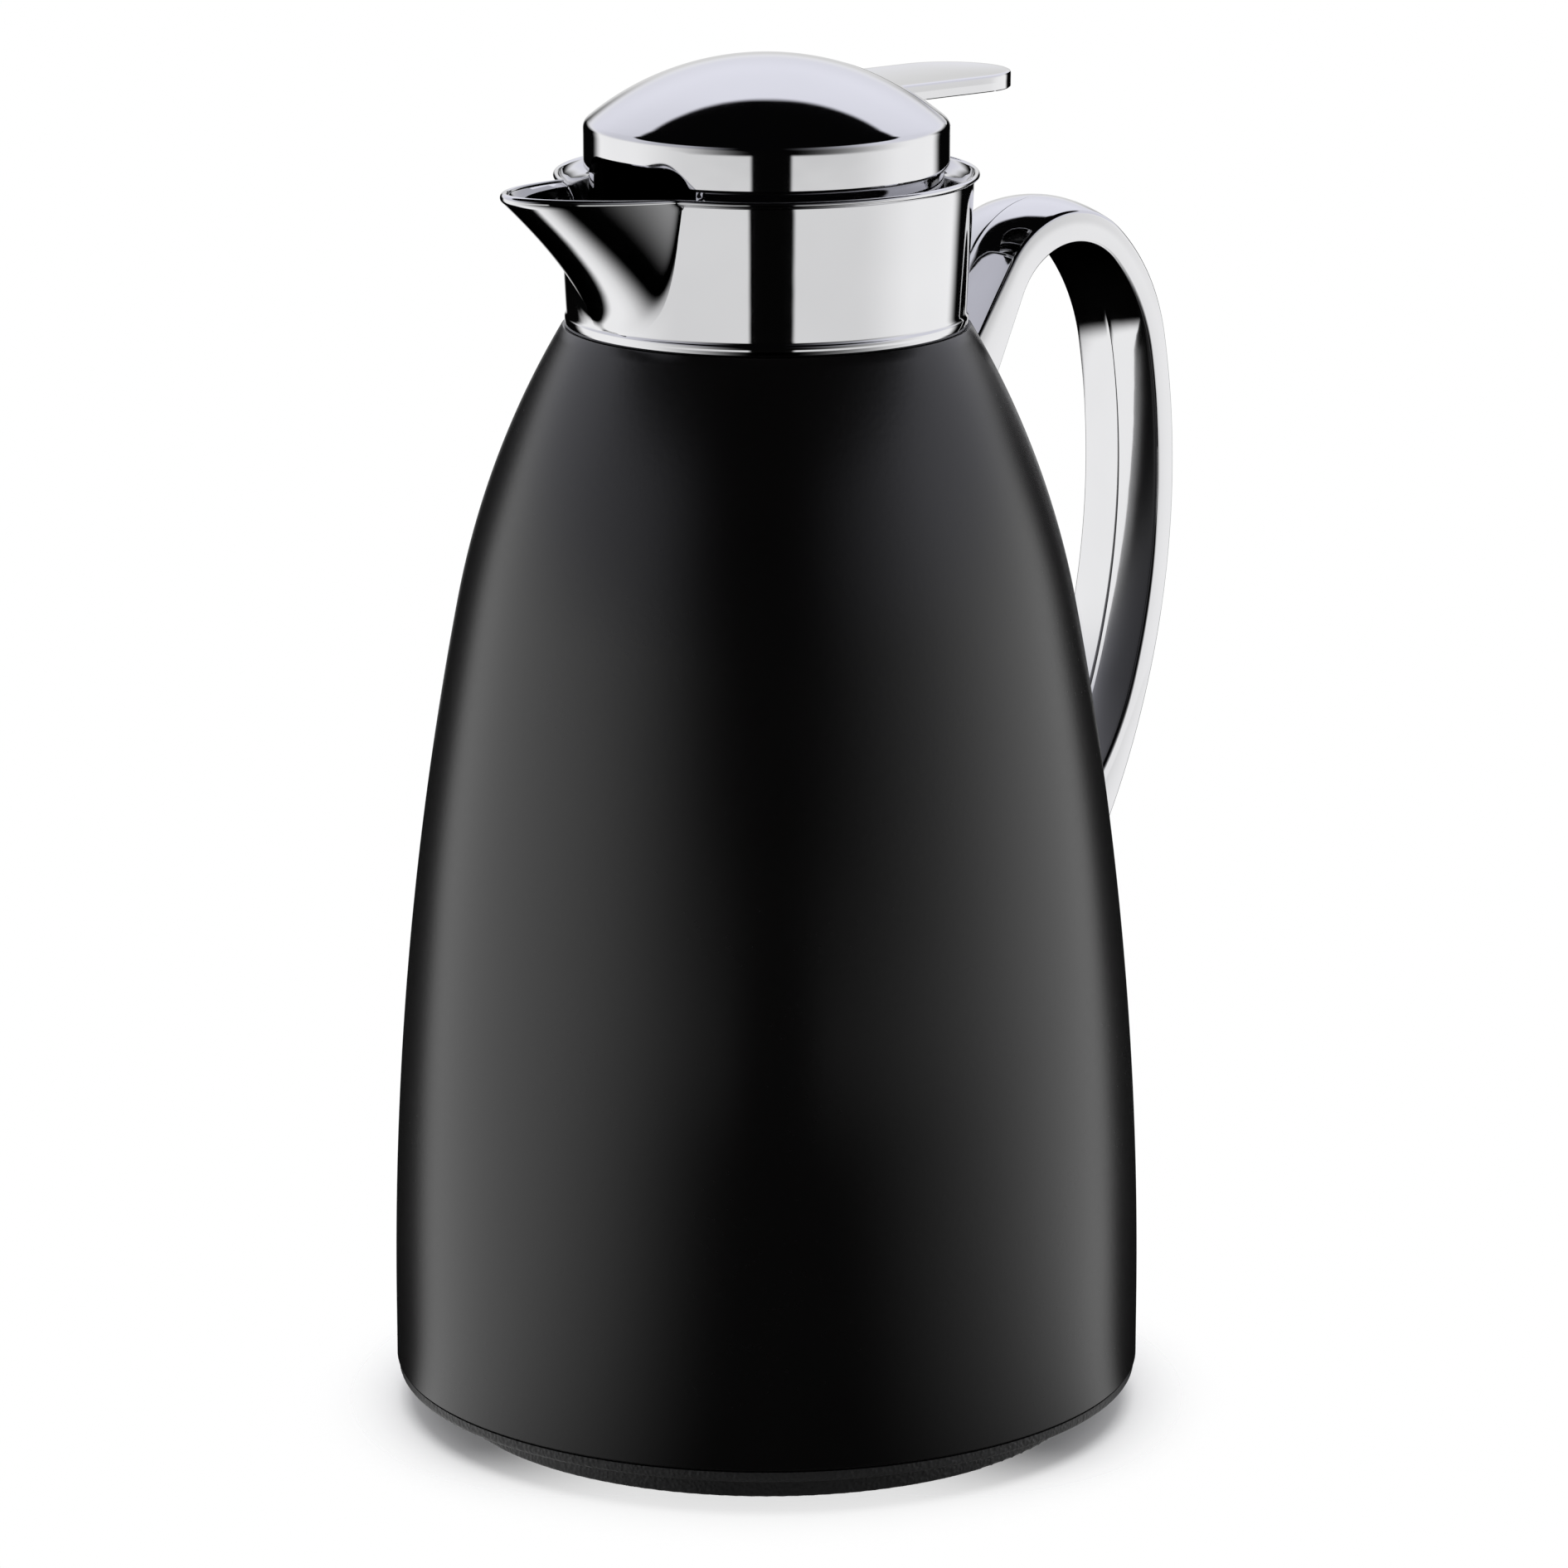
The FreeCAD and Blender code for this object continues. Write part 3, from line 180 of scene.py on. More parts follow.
def make_lacquer():
    material, shader, tree = new_finish("black_lacquer", {"IOR": 1.52})
    patches = clouds(tree, LACQUER_PATCH)
    peel = clouds(tree, PEEL_SIZE, 3.0)
    between(tree, patches, LACQUER_DARK, LACQUER_PALE).into(shader, "Base Color")
    (0.22 + 0.03 * patches + 0.05 * peel).into(shader, "Roughness")
    relief(tree, peel, PEEL_DEPTH).into(shader, "Normal")
    return material


lacquer = make_lacquer()
print("made", lacquer.name)

# %% [markdown]
# ### Moulded plastic, rubber, glass and steel
# The base shows a pebble grain of about half a millimetre: cells of a Voronoi pattern used as a bump.
# The parts under the lid are smoother. The silvered flask and the seals sit inside and still get a finish.

# %% Plastics and rubber
MOTTLE = 0.01


def make_grained(name, dark, pale, grain, depth, roughness):
    """A moulded finish with a pebble grain of this size in metres."""
    material, shader, tree = new_finish(name, {"IOR": 1.48})
    place = tree.node("ShaderNodeTexCoord", output="Object")
    pebble = tree.node("ShaderNodeTexVoronoi", {"Vector": place, "Scale": 1 / grain}, feature="SMOOTH_F1")
    patches = clouds(tree, MOTTLE, 3.0)
    between(tree, patches, dark, pale).into(shader, "Base Color")
    (roughness + 0.12 * pebble + 0.06 * patches).into(shader, "Roughness")
    relief(tree, 1 - pebble, depth).into(shader, "Normal")
    return material


grained_black = make_grained(
    "grained_black", grey(0.014), grey(0.026), grain=0.0007, depth=0.0003, roughness=0.42)
smooth_black = make_grained(
    "smooth_black", grey(0.006), grey(0.010), grain=0.0011, depth=0.00002, roughness=0.32)
seal_grey = make_grained(
    "seal_grey", (0.28, 0.28, 0.27), (0.38, 0.38, 0.37), grain=0.0009, depth=0.00004, roughness=0.60)
print("made", grained_black.name, smooth_black.name, seal_grey.name)

# %% Silvered glass and steel
STREAKS_PER_METRE = 120.0


def make_metal(name, dark, pale, streak, roughness):
    """A metal with drawn streaks round the jug's axis."""
    material, shader, tree = new_finish(name, {"Metallic": 1.0})
    place = tree.node("ShaderNodeTexCoord", output="Object")
    drawn = tree.node("ShaderNodeMapping", {"Vector": place, "Scale": (1.0, 1.0, streak)})
    lines = tree.node("ShaderNodeTexNoise", {"Vector": drawn, "Scale": STREAKS_PER_METRE, "Detail": 4.0})
    between(tree, lines, dark, pale).into(shader, "Base Color")
    (roughness + 0.15 * lines).into(shader, "Roughness")
    return material


silvered = make_metal(
    "silvered_glass", (0.70, 0.71, 0.72), (0.80, 0.81, 0.82), streak=0.5, roughness=0.04)
steel = make_metal("drawn_steel", grey(0.45), grey(0.60), streak=14.0, roughness=0.22)
print("made", silvered.name, steel.name)

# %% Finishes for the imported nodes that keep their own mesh
KEPT_NODES = {
    "base_ring": grained_black, "foot_ring": grained_black, "base_screw_cap": grained_black,
    "flask_liner": silvered, "flask_jacket": silvered, "flask_cushion": seal_grey, "neck_seal": seal_grey,
    "neck_insert": smooth_black, "handle_screws": steel, "stopper_body": smooth_black,
    "stopper_gasket": seal_grey, "stopper_deck": smooth_black, "lever_pin": steel, "valve_stem": steel,
    "stem_head": smooth_black, "valve_plunger": smooth_black, "valve_seal": seal_grey,
}
for node_name, finish in KEPT_NODES.items():
    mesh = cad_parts[node_name].data
    mesh.materials.clear()
    mesh.materials.append(finish)
print(len(KEPT_NODES), "packed nodes got their finish")

# %% [markdown]
# ## Lines, sheets and pieces
# Profiles are drawn in millimetres as corners joined by straight runs or arcs.
# A sheet is a grid of points turned into quads; a piece is one or more sheets in a single mesh.

# %% Drawing profiles
def trace(corners):
    """Points along corners; a corner is (across, up) or (across, up, bend, steps).

    The bend is the tangent of a quarter of the turned angle, leftwards if positive."""
    points = [corners[0][:2]]
    for corner in corners[1:]:
        start, end = points[-1], corner[:2]
        bend, steps = corner[2:] if len(corner) > 2 else (0, 1)
        across, up = end[0] - start[0], end[1] - start[1]
        if bend == 0:
            shares = [step / steps for step in range(1, steps + 1)]
            points += [(start[0] + across * share, start[1] + up * share) for share in shares]
            continue
        lean = (1 - bend * bend) / (4 * bend)
        centre = (start[0] + across / 2 - up * lean, start[1] + up / 2 + across * lean)
        radius = math.dist(start, centre)
        first = math.atan2(start[1] - centre[1], start[0] - centre[0])
        for step in range(1, steps + 1):
            angle = first + 4 * math.atan(bend) * step / steps
            points.append((centre[0] + radius * math.cos(angle), centre[1] + radius * math.sin(angle)))
    return points


print("a quarter circle in three steps:", trace([(1, 0), (0, 1, math.tan(math.pi / 8), 3)]))

# %% Turning grids of points into pieces
SAME_PLACE = 1e-7


def add_sheet(work, rows, around=False, along=False, capped=False):
    """Quads over rows of points in millimetres, closed round each row or from last row to first."""
    grid = [[work.verts.new(Vector(point) * MILLIMETRE) for point in row] for row in rows]
    count = len(grid[0])
    for low, high in zip(grid, grid[1:] + grid[:1] if along else grid[1:]):
        for place in range(count if around else count - 1):
            after = (place + 1) % count
            work.faces.new((low[place], low[after], high[after], high[place]))
    if capped:
        work.faces.new(grid[0])
        work.faces.new(grid[-1])


def smooth_mesh(work, name, finish, crease=32.0):
    """Merges the seams, turns the faces outwards and shades smoothly between creases."""
    bmesh.ops.remove_doubles(work, verts=work.verts, dist=SAME_PLACE * 10)
    bmesh.ops.dissolve_degenerate(work, edges=work.edges, dist=SAME_PLACE)
    bmesh.ops.recalc_face_normals(work, faces=work.faces)
    mesh = bpy.data.meshes.new(name)
    work.to_mesh(mesh)
    work.free()
    mesh.shade_smooth()
    mesh.set_sharp_from_angle(angle=math.radians(crease))
    mesh.materials.clear()
    mesh.materials.append(finish)
    return mesh


def set_in_place(name, mesh, body, node):
    """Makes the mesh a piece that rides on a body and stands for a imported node."""
    piece = bpy.data.objects.new(name, mesh)
    bpy.context.scene.collection.objects.link(piece)
    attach(piece, body)
    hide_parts(node)
    triangles = sum(len(face.vertices) - 2 for face in mesh.polygons)
    print(name, "has", triangles, "triangles")
    return piece


print("sheet helpers ready")

# %% [markdown]
# ## The casing
# The bell is a turned shell, so it follows one rule: a profile swept round the axis.
# A Geometry Nodes tree does it. It takes the profile's points, makes a grid with one row per point,
# and bends the grid into a ring. The Segments input sets how fine it is.

# %% A node tree that turns a profile
def turning_tree():
    tree = bpy.data.node_groups.new("turned_piece", "GeometryNodeTree")
    for label, kind in (("Profile", "Geometry"), ("Segments", "Int"), ("Finish", "Material")):
        tree.interface.new_socket(label, in_out="INPUT", socket_type="NodeSocket" + kind)
    tree.interface.new_socket("Piece", in_out="OUTPUT", socket_type="NodeSocketGeometry")
    wire = Wire(tree)
    entry = tree.nodes.new("NodeGroupInput")
    labels = ("Profile", "Segments", "Finish")
    profile, segments, finish = [Wire(tree, entry.outputs[label]) for label in labels]
    rows = wire.node("GeometryNodeAttributeDomainSize", {0: profile}, "Point Count", component="MESH")
    grid_sizes = {"Size X": 1.0, "Size Y": 1.0, "Vertices X": segments + 1, "Vertices Y": rows}
    grid = wire.node("GeometryNodeMeshGrid", grid_sizes)
    spot = wire.node("GeometryNodeInputPosition")
    across = wire.node("ShaderNodeSeparateXYZ", {0: spot}, "X")
    up = wire.node("ShaderNodeSeparateXYZ", {0: spot}, "Y")
    row = wire.maths("ROUND", (up + 0.5) * (rows - 1))
    sampled = {"Geometry": profile, "Value": spot, "Index": row}
    corner = wire.node("GeometryNodeSampleIndex", sampled, data_type="FLOAT_VECTOR", domain="POINT")
    radius = wire.node("ShaderNodeSeparateXYZ", {0: corner}, "X")
    height = wire.node("ShaderNodeSeparateXYZ", {0: corner}, "Z")
    angle = (across + 0.5) * math.tau
    ring = {"X": radius * wire.maths("COSINE", angle), "Y": radius * wire.maths("SINE", angle), "Z": height}
    place = wire.node("ShaderNodeCombineXYZ", ring)
    bent = wire.node("GeometryNodeSetPosition", {"Geometry": grid, "Position": place})
    closed = wire.node("GeometryNodeMergeByDistance", {"Geometry": bent, "Distance": SAME_PLACE})
    solid = wire.node("GeometryNodeRealizeInstances", {"Geometry": closed})
    painted = wire.node("GeometryNodeSetMaterial", {"Geometry": solid, "Material": finish})
    painted.into(tree.nodes.new("NodeGroupOutput"), "Piece")
    return tree


def grown_mesh(name, tree, settings, points=()):
    """Runs a node tree on some points and keeps its result as a plain mesh."""
    mesh = bpy.data.meshes.new(name + "_start")
    mesh.from_pydata([Vector((across, 0, up)) * MILLIMETRE for across, up in points], [], [])
    source = bpy.data.objects.new(name + "_start", mesh)
    bpy.context.scene.collection.objects.link(source)
    modifier = source.modifiers.new("nodes", "NODES")
    modifier.node_group = tree
    for item in tree.interface.items_tree:
        if item.in_out == "INPUT" and item.name in settings:
            modifier[item.identifier] = settings[item.name]
    result = bpy.data.meshes.new_from_object(source.evaluated_get(bpy.context.evaluated_depsgraph_get()))
    bpy.data.objects.remove(source)
    return result


turning = turning_tree()
print("tree", turning.name, "has", len(turning.nodes), "nodes")

# %% The lacquered bell
CASING_SEGMENTS = 256
CASING_PROFILE = trace([
    (70.8, 9.0), (71.1, 8.75), (71.7, 8.75), (72.0, 9.05), (72.0, 20.0, 0, 4),
    (58.6, 158.4, 0.0485, 48), (38.6, 210.75, 0.0857, 30), (38.35, 211.0), (37.15, 211.0),
    (57.4, 158.4, -0.0857, 20), (70.8, 20.0, -0.0485, 24), (70.8, 9.0),
])
casing_settings = {"Segments": CASING_SEGMENTS, "Finish": lacquer}
casing_work = bmesh.new()
casing_work.from_mesh(grown_mesh("casing_shell", turning, casing_settings, CASING_PROFILE))
casing_mesh = smooth_mesh(casing_work, "casing_shell", lacquer)
set_in_place("casing_shell", casing_mesh, "jug", "outer_casing")

# %% [markdown]
# ## Collar and spout
# The chromed collar is one drawn piece: a round wall with a rolled rim that swells into a pouring spout.
# Joining two solids would leave a hard cut between them.
# Here each column round the axis takes the larger of two radii, the wall's and the spout's,
# and a soft maximum leaves the small fillet that the drawn metal has.
# Seen from above, the spout lies midway between a parabola and an ellipse,
# which gives a blunt tip and nearly straight flanks.
# The rim's roll is slim round the wall and grows thicker towards the tip.

# %% Rules for the wall and the spout
ROLL, TIP_ROLL = 0.55, 0.9
ROLL_START = math.radians(-41)
RIM_START = (39.77, 238.94)
WALL_RADIUS, WALL_START = 37.6, 213.7
SPOUT_FOOT, SPOUT_TIP, SPOUT_ROOT = 213.6, 61.4, 33.5
SPOUT_HALF_WIDTH, SPOUT_SWELL, SPOUT_CURVE, SPOUT_LIFT = 17.0, 0.2, 1.3, 0.6
SPOUT_END = math.radians(85)
# How many insets the spout's inside lies behind its outside at the foot, and how many fewer at the lip
INSET_FOOT, INSET_FADE, FADE_POWER = 1.42, 0.54, 8
NEARLY_STRAIGHT = 1e-9
FLOOR = 226.0
OUTER_WALL = trace([(WALL_RADIUS, 213.2), (38.9, 238.4), (*RIM_START, -0.13, 8)])
INNER_WALL = [(36.0, FLOOR), (37.2, 236.6), (38.2, 238.5), (38.7, 239.2), (38.7, 242.0)]


def radius_at(wall, height):
    """Radius of a wall, drawn as points, at a height."""
    for low, high in zip(wall, wall[1:]):
        if height <= high[1]:
            break
    share = min(max((height - low[1]) / (high[1] - low[1]), 0), 1)
    return low[0] + (high[0] - low[0]) * share


def soft_maximum(first, second, fillet=0.8):
    return (first + second + math.hypot(first - second, fillet)) / 2


def spout_radius(angle, share, inset):
    """Distance from the axis to the spout, or to its inside, at a share of its height."""
    if share <= 0 or abs(angle) > SPOUT_END:
        return 0.0
    reach = WALL_RADIUS + (SPOUT_TIP - WALL_RADIUS) * share ** SPOUT_CURVE
    reach -= inset * (INSET_FOOT - INSET_FADE * share ** FADE_POWER)
    width = SPOUT_HALF_WIDTH * share ** SPOUT_SWELL - inset
    if width <= 0:
        return 0.0
    depth, sine, cosine = reach - SPOUT_ROOT, math.sin(angle), math.cos(angle)
    curl = depth * sine ** 2 / width ** 2
    parabola = reach
    if curl > NEARLY_STRAIGHT:
        parabola = (math.sqrt(cosine * cosine + 4 * curl * reach) - cosine) / (2 * curl)
    spread_out = (cosine / depth) ** 2 + (sine / width) ** 2
    lean = SPOUT_ROOT * cosine / depth ** 2
    ellipse = lean + math.sqrt(max(lean * lean - spread_out * ((SPOUT_ROOT / depth) ** 2 - 1), 0))
    return (parabola + ellipse / spread_out) / 2


print("spout tip at", round(spout_radius(0, 1, 0), 2), "mm from the axis")

# %% The collar's columns
COLLAR_FOOT = [
    (36.9, 211.05), (37.75, 211.05), (37.95, 211.25), (37.95, 212.8), (37.87, 213.05), (37.66, 213.3),
]
TROUGH_END = [(32.6, FLOOR), (32.3, FLOOR - 0.3), (32.3, 224.0), (36.0, 224.0), (36.0, 214.0)]
SPOUT_WALL = 1.8
WALL_STEPS, ROLL_STEPS, TROUGH_STEPS = 48, 12, 20


def collar_column(angle):
    """Points from the collar's foot over its rim and down to the trough, as (radius, height)."""
    start = soft_maximum(RIM_START[0], spout_radius(angle, 1, 0))
    rise = min(max((start - RIM_START[0]) / (SPOUT_TIP - RIM_START[0]), 0), 1)
    edge = RIM_START[1] + SPOUT_LIFT * rise
    column = list(COLLAR_FOOT)
    for step in range(WALL_STEPS + 1):
        height = WALL_START + (edge - WALL_START) * step / WALL_STEPS
        share = (height - SPOUT_FOOT) / (edge - SPOUT_FOOT)
        wall = radius_at(OUTER_WALL, WALL_START + (RIM_START[1] - WALL_START) * step / WALL_STEPS)
        column.append((soft_maximum(wall, spout_radius(angle, share, 0)), height))
    roll = ROLL + (TIP_ROLL - ROLL) * rise
    middle = (column[-1][0] - roll * math.cos(ROLL_START), edge - roll * math.sin(ROLL_START))
    for step in range(1, ROLL_STEPS + 1):
        turn = ROLL_START + (math.pi - ROLL_START) * step / ROLL_STEPS
        column.append((middle[0] + roll * math.cos(turn), middle[1] + roll * math.sin(turn)))
    for step in range(1, TROUGH_STEPS + 1):
        height = middle[1] + (FLOOR - middle[1]) * step / TROUGH_STEPS
        share = (height - SPOUT_FOOT) / (edge - SPOUT_FOOT)
        wall = radius_at(INNER_WALL, height)
        column.append((soft_maximum(wall, spout_radius(angle, share, SPOUT_WALL)), height))
    return column + [((column[-1][0] + TROUGH_END[0][0]) / 2, FLOOR)] + TROUGH_END


print("a column of the collar has", len(collar_column(math.pi)), "points")

# %% The whole collar
SPOUT_SPAN, FINE_STEP, PLAIN_STEP = 45, 0.45, 1.5


def spread(first, last, step):
    """Angles in degrees from first to just before last."""
    count = round((last - first) / step)
    return [first + (last - first) * place / count for place in range(count)]


def around_axis(radius, height, angle):
    return (radius * math.cos(angle), radius * math.sin(angle), height)


def make_collar():
    turns = spread(-SPOUT_SPAN, SPOUT_SPAN, FINE_STEP) + spread(SPOUT_SPAN, 360 - SPOUT_SPAN, PLAIN_STEP)
    rows = []
    for degrees in turns:
        turn = math.radians(degrees)
        off_spout = math.atan2(math.sin(turn), math.cos(turn))
        column = collar_column(off_spout)
        rows.append([around_axis(radius, height, math.pi + turn) for radius, height in column])
    work = bmesh.new()
    add_sheet(work, rows, around=True, along=True)
    return smooth_mesh(work, "collar_and_spout", chrome, crease=50.0)


set_in_place("collar_and_spout", make_collar(), "jug", "spout_collar")

# %% [markdown]
# ## Lid dome
# The dome, its tight corner and its skirt are one turned form, cut behind by an arched seam for the lever
# and in front by the pour arch.
# Columns round the axis follow the form, and each column ends where the seam or the arch cuts it.
# Behind the seam only a low ring of the skirt goes on.

# %% Rules for the dome
LID_RADIUS, DOME_EDGE, LID_WALL = 34.3, 33.6, 1.8
APEX, DOME_BALL = 261.7, 52.99
SKIRT_FOOT, CORNER_FOOT, NOTCH = 240.8, 248.2, 246.8
SEAM_CENTRE, LID_SEAM, LEVER_SEAM = 49.9, 35.3, 35.0
ARCH_TOP, ARCH_FLAT, ARCH_ROUND = 244.3, 9.6, 5.0
LID_EDGE, LID_INNER_EDGE, SEAM_EDGE = 0.25, 0.2, 0.15
DOME_STEPS, SKIRT_STEPS = 26, 8


def dome_height(radius, inset=0.0):
    return APEX - DOME_BALL + math.sqrt((DOME_BALL - inset) ** 2 - radius * radius)


def skirt_foot(angle):
    """Height of the skirt's lower edge, which rises over the pour arch."""
    side = abs(LID_RADIUS * math.sin(angle))
    if math.cos(angle) > 0 or side > ARCH_FLAT + ARCH_ROUND:
        return SKIRT_FOOT
    over = max(side - ARCH_FLAT, 0)
    return max(SKIRT_FOOT, ARCH_TOP - ARCH_ROUND + math.sqrt(ARCH_ROUND ** 2 - over * over))


CORNER = trace([(DOME_EDGE, dome_height(DOME_EDGE)), (LID_RADIUS, CORNER_FOOT, -0.21, 5)])
DOME_SHARES = [step / DOME_STEPS for step in range(DOME_STEPS + 1)]
print("dome meets its corner at", [round(value, 2) for value in CORNER[0]])

# %% The lid's columns
def front_column(angle):
    """Dome, corner, skirt and back up inside, as (radius, height)."""
    inner = LID_RADIUS - LID_WALL
    foot = skirt_foot(angle)
    column = [(DOME_EDGE * share, dome_height(DOME_EDGE * share)) for share in DOME_SHARES]
    column += CORNER[1:]
    drop = foot + LID_EDGE - CORNER_FOOT
    column += [(LID_RADIUS, CORNER_FOOT + drop * step / SKIRT_STEPS) for step in range(1, SKIRT_STEPS + 1)]
    column += [(LID_RADIUS - LID_EDGE, foot), (inner + LID_INNER_EDGE, foot), (inner, foot + LID_INNER_EDGE)]
    return column + [(inner * share, dome_height(inner * share, LID_WALL)) for share in reversed(DOME_SHARES)]


def seam_column(angle):
    """Dome as far as the seam, down the cut and back inside, as (radius, height)."""
    reach = SEAM_CENTRE * math.cos(angle)
    reach -= math.sqrt(max(LID_SEAM ** 2 - (SEAM_CENTRE * math.sin(angle)) ** 2, 0))
    reach = min(reach, DOME_EDGE)
    top, low = dome_height(reach), dome_height(reach, LID_WALL)
    column = [(reach * share, dome_height(reach * share)) for share in DOME_SHARES[:-1]]
    column += [(reach - SEAM_EDGE, dome_height(reach - SEAM_EDGE)), (reach, top - SEAM_EDGE)]
    # The cut gets as many points as a front column has on its corner and skirt, so that both can be joined
    steps = len(CORNER) + SKIRT_STEPS + 1
    drop = low - top + SEAM_EDGE
    column += [(reach, top - SEAM_EDGE + drop * step / steps) for step in range(1, steps + 1)]
    return column + [(reach * share, dome_height(reach * share, LID_WALL)) for share in reversed(DOME_SHARES)]


print("lid columns have", len(front_column(math.pi)), "points in front and", len(seam_column(0.0)), "behind")

# %% The whole lid
SEAM_END = 45.0
# The columns crowd together where the seam meets the rim
SEAM_CROWD = [42.0, 43.0, 43.5, 44.0, 44.4, 44.7, 44.9, SEAM_END]
ARCH_FROM, ARCH_TO, ARCH_STEP = 150, 210, 0.6


def make_lid():
    rear = [-value for value in reversed(SEAM_CROWD[1:])]
    rear += spread(-SEAM_CROWD[0], SEAM_CROWD[0], PLAIN_STEP) + SEAM_CROWD
    front = spread(SEAM_END, ARCH_FROM, PLAIN_STEP) + spread(ARCH_FROM, ARCH_TO, ARCH_STEP)
    front += spread(ARCH_TO, 360 - SEAM_END, PLAIN_STEP) + [360 - SEAM_END]
    stations = [(degrees, seam_column) for degrees in rear]
    stations += [(degrees, front_column) for degrees in front]
    rows = []
    for degrees, column_of in stations:
        turn = math.radians(degrees)
        rows.append([around_axis(radius, height, turn) for radius, height in column_of(turn)])
    work = bmesh.new()
    add_sheet(work, rows, along=True)
    inner = LID_RADIUS - LID_WALL
    low_ring = [(inner, SKIRT_FOOT + LID_INNER_EDGE), (inner + LID_INNER_EDGE, SKIRT_FOOT)]
    low_ring += [(LID_RADIUS - LID_EDGE, SKIRT_FOOT), (LID_RADIUS, SKIRT_FOOT + LID_EDGE)]
    low_ring += [(LID_RADIUS, NOTCH - LID_EDGE), (LID_RADIUS - LID_EDGE, NOTCH), (inner, NOTCH)]
    turns = [math.radians(degrees) for degrees in spread(-SEAM_END, SEAM_END, PLAIN_STEP) + [SEAM_END]]
    ring = [[around_axis(radius, height, turn) for radius, height in low_ring] for turn in turns]
    add_sheet(work, ring, around=True, capped=True)
    return smooth_mesh(work, "lid_dome", chrome)


set_in_place("lid_dome", make_lid(), "lid", "lid_cap")

# %% [markdown]
# Below the skirt the stopper's drum is plated too, and only its pour opening shows the black plastic behind.
# A thin band over the drum gives that. It stops below the opening and ends in two upright edges beside it.

# %% The drum's plated band
DRUM_RADIUS, BAND_THICKNESS = 33.02, 0.16
BAND_FOOT, BAND_TOP = 230.3, 240.35
OPENING_FOOT, OPENING_SIDE = 231.8, 14.6
OPENING_HALF = math.degrees(math.asin(OPENING_SIDE / DRUM_RADIUS))


def make_band():
    first, last = 180 - OPENING_HALF, 180 + OPENING_HALF
    plain = spread(-180 + OPENING_HALF, first, PLAIN_STEP) + [first]
    open_part = spread(first, last, PLAIN_STEP) + [last]
    tops = [(degrees, BAND_TOP) for degrees in plain] + [(degrees, OPENING_FOOT) for degrees in open_part]
    rows = []
    for degrees, top in tops:
        outer, turn = DRUM_RADIUS + BAND_THICKNESS, math.radians(degrees)
        section = [(DRUM_RADIUS, BAND_FOOT), (outer, BAND_FOOT), (outer, top), (DRUM_RADIUS, top)]
        rows.append([around_axis(radius, height, turn) for radius, height in section])
    work = bmesh.new()
    add_sheet(work, rows, around=True, along=True)
    return smooth_mesh(work, "drum_band", chrome)


band = bpy.data.objects.new("drum_band", make_band())
bpy.context.scene.collection.objects.link(band)
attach(band, "lid")
print(band.name, "stands", BAND_THICKNESS, "mm proud of the drum")

# %% [markdown]
# ## Thumb lever
# The lever is the rear of the dome with a flat paddle growing out of it.
# Its crown is a lens between the seam and the rim, so its columns run across the jug instead of round it.
# The paddle is a stack of outlines, each a little smaller, which gives crisp rounded edges and a dished top.
# Below, a hub on the pin and two arms reach the valve's stem.

# %% The lever's crown and paddle
CROWN_FOOT, CROWN_SIDE, CROWN_EDGE = 248.4, 23.3, 0.2
CROWN_COLUMNS, CROWN_STEPS, UNDER_STEPS = 40, 20, 12
PADDLE_HALF, PADDLE_START, PADDLE_ROUND = 12.0, 20.0, 45.9
PADDLE_STEPS, TIP_STEPS = 12, 40
# How far each outline lies inside the widest one, and its height
PADDLE_RINGS = (
    (12.0, 251.6), (6.0, 251.6), (0.5, 251.6), (0.15, 251.66), (0.0, 251.85), (0.0, 253.2), (0.0, 254.35),
    (0.13, 254.65), (0.4, 254.78), (0.8, 254.8), (1.6, 254.76), (3.5, 254.68), (6.5, 254.6), (9.5, 254.56),
    (12.0, 254.55),
)


def crown_column(side):
    """Section of the crown at a distance from the mid-plane, as points."""
    near = SEAM_CENTRE - math.sqrt(LEVER_SEAM ** 2 - side * side)
    far = math.sqrt(DOME_EDGE ** 2 - side * side)
    inner_far = max(math.sqrt(max((LID_RADIUS - LID_WALL) ** 2 - side * side, 0)), near)
    turn = math.atan2(side, far)

    def on_dome(across, inset):
        return (across, side, dome_height(math.hypot(across, side), inset))

    start, length = near + SEAM_EDGE, far - near - SEAM_EDGE
    points = [on_dome(start + length * step / CROWN_STEPS, 0) for step in range(CROWN_STEPS + 1)]
    points += [around_axis(radius, max(height, CROWN_FOOT), turn) for radius, height in CORNER[1:]]
    points.append(around_axis(LID_RADIUS - CROWN_EDGE, CROWN_FOOT, turn))
    points.append((inner_far, side, CROWN_FOOT))
    for step in range(UNDER_STEPS + 1):
        points.append(on_dome(inner_far + (near - inner_far) * step / UNDER_STEPS, LID_WALL))
    points.append((near, side, dome_height(math.hypot(near, side)) - SEAM_EDGE))
    return points


def paddle_outline(inset, height):
    """One outline: out along one side, round the tip and back along the other side."""
    half, length = PADDLE_HALF - inset, PADDLE_ROUND - PADDLE_START
    points = [(PADDLE_START + length * step / PADDLE_STEPS, -half, height) for step in range(PADDLE_STEPS)]
    for step in range(TIP_STEPS + 1):
        turn = math.pi * (step / TIP_STEPS - 0.5)
        points.append((PADDLE_ROUND + half * math.cos(turn), half * math.sin(turn), height))
    for step in range(1, PADDLE_STEPS + 1):
        points.append((PADDLE_ROUND - length * step / PADDLE_STEPS, half, height))
    return points


print("crown spans", 2 * CROWN_SIDE, "mm")

